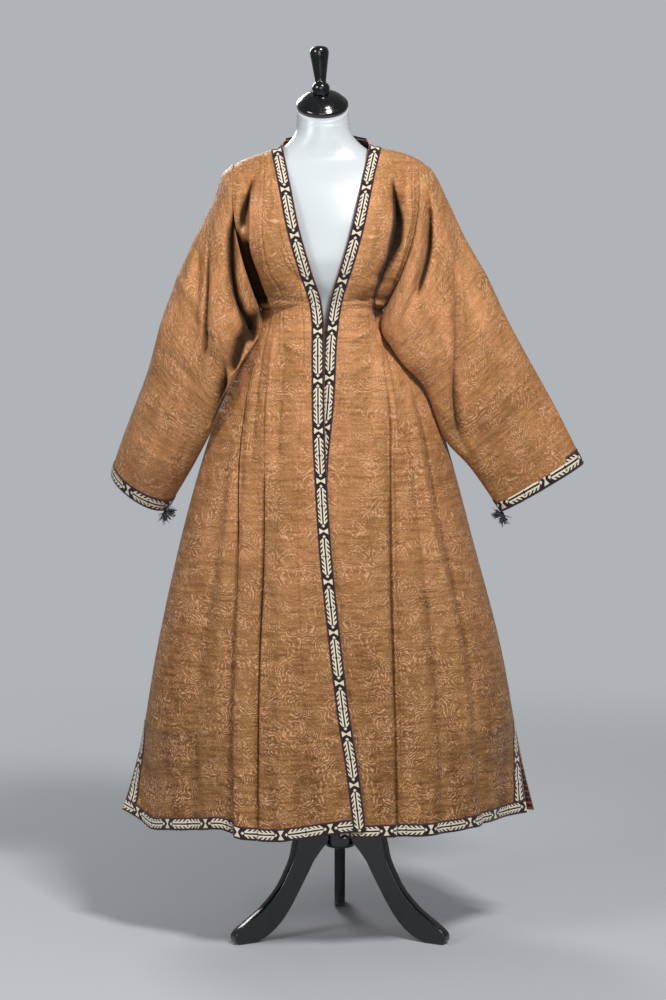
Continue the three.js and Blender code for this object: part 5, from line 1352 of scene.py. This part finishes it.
# Cotton thread, twisted and waxed: dark maroon with lighter turns of the twist.
THREAD, tree, shader = finish("twisted_cotton_thread", Roughness=0.8)
spot = node(tree, "TexCoord", out="Object")
twist = node(tree, "TexNoise", {"Vector": spot, "Scale": per_metre(TWIST)})
plug(tree, shader, {
    "Base Color": node(tree, "Mix", {0: twist, 6: linear("#2B171C"), 7: linear("#5A3A38")}, 2, **COLOURS),
})
GRAIN_FACES = [(0, 2, 4), (0, 4, 3), (0, 3, 5), (0, 5, 2), (1, 4, 2), (1, 3, 4), (1, 5, 3), (1, 2, 5)]


def stitch_line(line, normals):
    """Grains of six points and eight faces along a line of points, at an even step, lying on the cloth."""
    run = lengths(line[None])[0]
    centres = np.arange(STITCH_STEP / 2, run[-1], STITCH_STEP)
    at, ahead, out = [np.stack([np.interp(centres + shift, run, values[:, k]) for k in range(3)], 1)
                      for values, shift in ((line, 0), (line, 1), (normals, 0))]
    ahead = ahead - at
    ahead /= np.maximum(np.linalg.norm(ahead, axis=1, keepdims=True), 1e-9)
    aside = np.cross(ahead, out)
    arms = [ahead * STITCH_LENGTH / 2, out * STITCH_RADIUS, aside * STITCH_RADIUS]
    points = np.stack([at + sign * arm for arm in arms for sign in (1, -1)], 1).reshape(-1, 3)
    return points, (np.arange(len(at))[:, None, None] * 6 + np.array(GRAIN_FACES)[None]).reshape(-1, 3)


parts = []
for grid, across_axis in sewn:
    normals = normals_of(grid)
    for edge in (0, -1):
        line, out = grid.take(edge, across_axis), normals.take(edge, across_axis)
        parts.append(stitch_line(line + out * STITCH_LIFT, out))
stands_for(make_object("band_stitches", *joined(parts), THREAD), "woven_band")

# Floor: a wide, flat sheet of pale grey paper, whose far parts fade into the even grey of the studio's
# walls.
FLOOR_HALF, FADE_FROM, FADE_TO = 4000, 1.5, 3.6
PAPER, tree, shader = finish("matt_paper", Roughness=0.9)
away = node(tree, "VectorMath", (node(tree, "TexCoord", out="Object"),), "Value", operation="LENGTH")
plug(tree, shader, {
    "Base Color": linear("#A4A8AB"),
    "Alpha": node(tree, "MapRange", (away, FADE_FROM, FADE_TO, 1.0, 0.0), **RISE),
})
corners = np.array([(-1, -1, 0), (1, -1, 0), (1, 1, 0), (-1, 1, 0)]) * FLOOR_HALF
floor = make_object("floor", corners - STAND, [(0, 1, 2, 3)], PAPER)

# Studio: large soft lamps in a room with even grey walls, whose light on the object is dimmer than they
# look. Each lamp: its place, what it faces, its size and its watts.
LAMPS = {
    "key": ((1300, -2900, 4300), (0, 0, 1150), 0.8, 230),
    "fill": ((-3200, -2600, 2600), (0, 0, 1250), 1.4, 75),
    "front": ((0, -4800, 2000), (0, 0, 1300), 2.2, 40),
    "back": ((-1600, 3400, 3200), (0, 0, 1000), 1.8, 90),
}
room = bpy.data.worlds.new("studio")
bpy.context.scene.world = room
room.use_nodes = True
seen = node(room.node_tree, "LightPath", out="Is Camera Ray")
plug(room.node_tree, room.node_tree.nodes["Background"], {
    "Color": linear("#B0B4B8"),
    "Strength": node(room.node_tree, "MapRange", (seen, 0.0, 1.0, 0.4, 1.0)),
})
for name, (place, aim, size, watts) in LAMPS.items():
    lamp = bpy.data.lights.new(name, "AREA")
    lamp.size = size
    lamp.energy = watts
    made = bpy.data.objects.new(name, lamp)
    bpy.context.scene.collection.objects.link(made)
    made.location = (np.array(place) + STAND) * MM
    made.rotation_euler = Vector(np.subtract(aim, place).tolist()).to_track_quat("-Z", "Y").to_euler()

# Camera: five metres in front, at the height of the waist, looking down a little through a long lens.
EYE, LENS, FILM, LOOK_DOWN, SHIFT_UP = (-14, -5000, 1250), 90, 36, 2.5, -0.0809
camera_data = bpy.data.cameras.new("camera")
camera_data.lens, camera_data.sensor_width, camera_data.shift_y = LENS, FILM, SHIFT_UP
camera = bpy.data.objects.new("camera", camera_data)
bpy.context.scene.collection.objects.link(camera)
camera.location = (np.array(EYE) + STAND) * MM
camera.rotation_euler = (np.radians(90 - LOOK_DOWN), 0, 0)
bpy.context.scene.camera = camera
bpy.context.scene.view_settings.view_transform = "Standard"
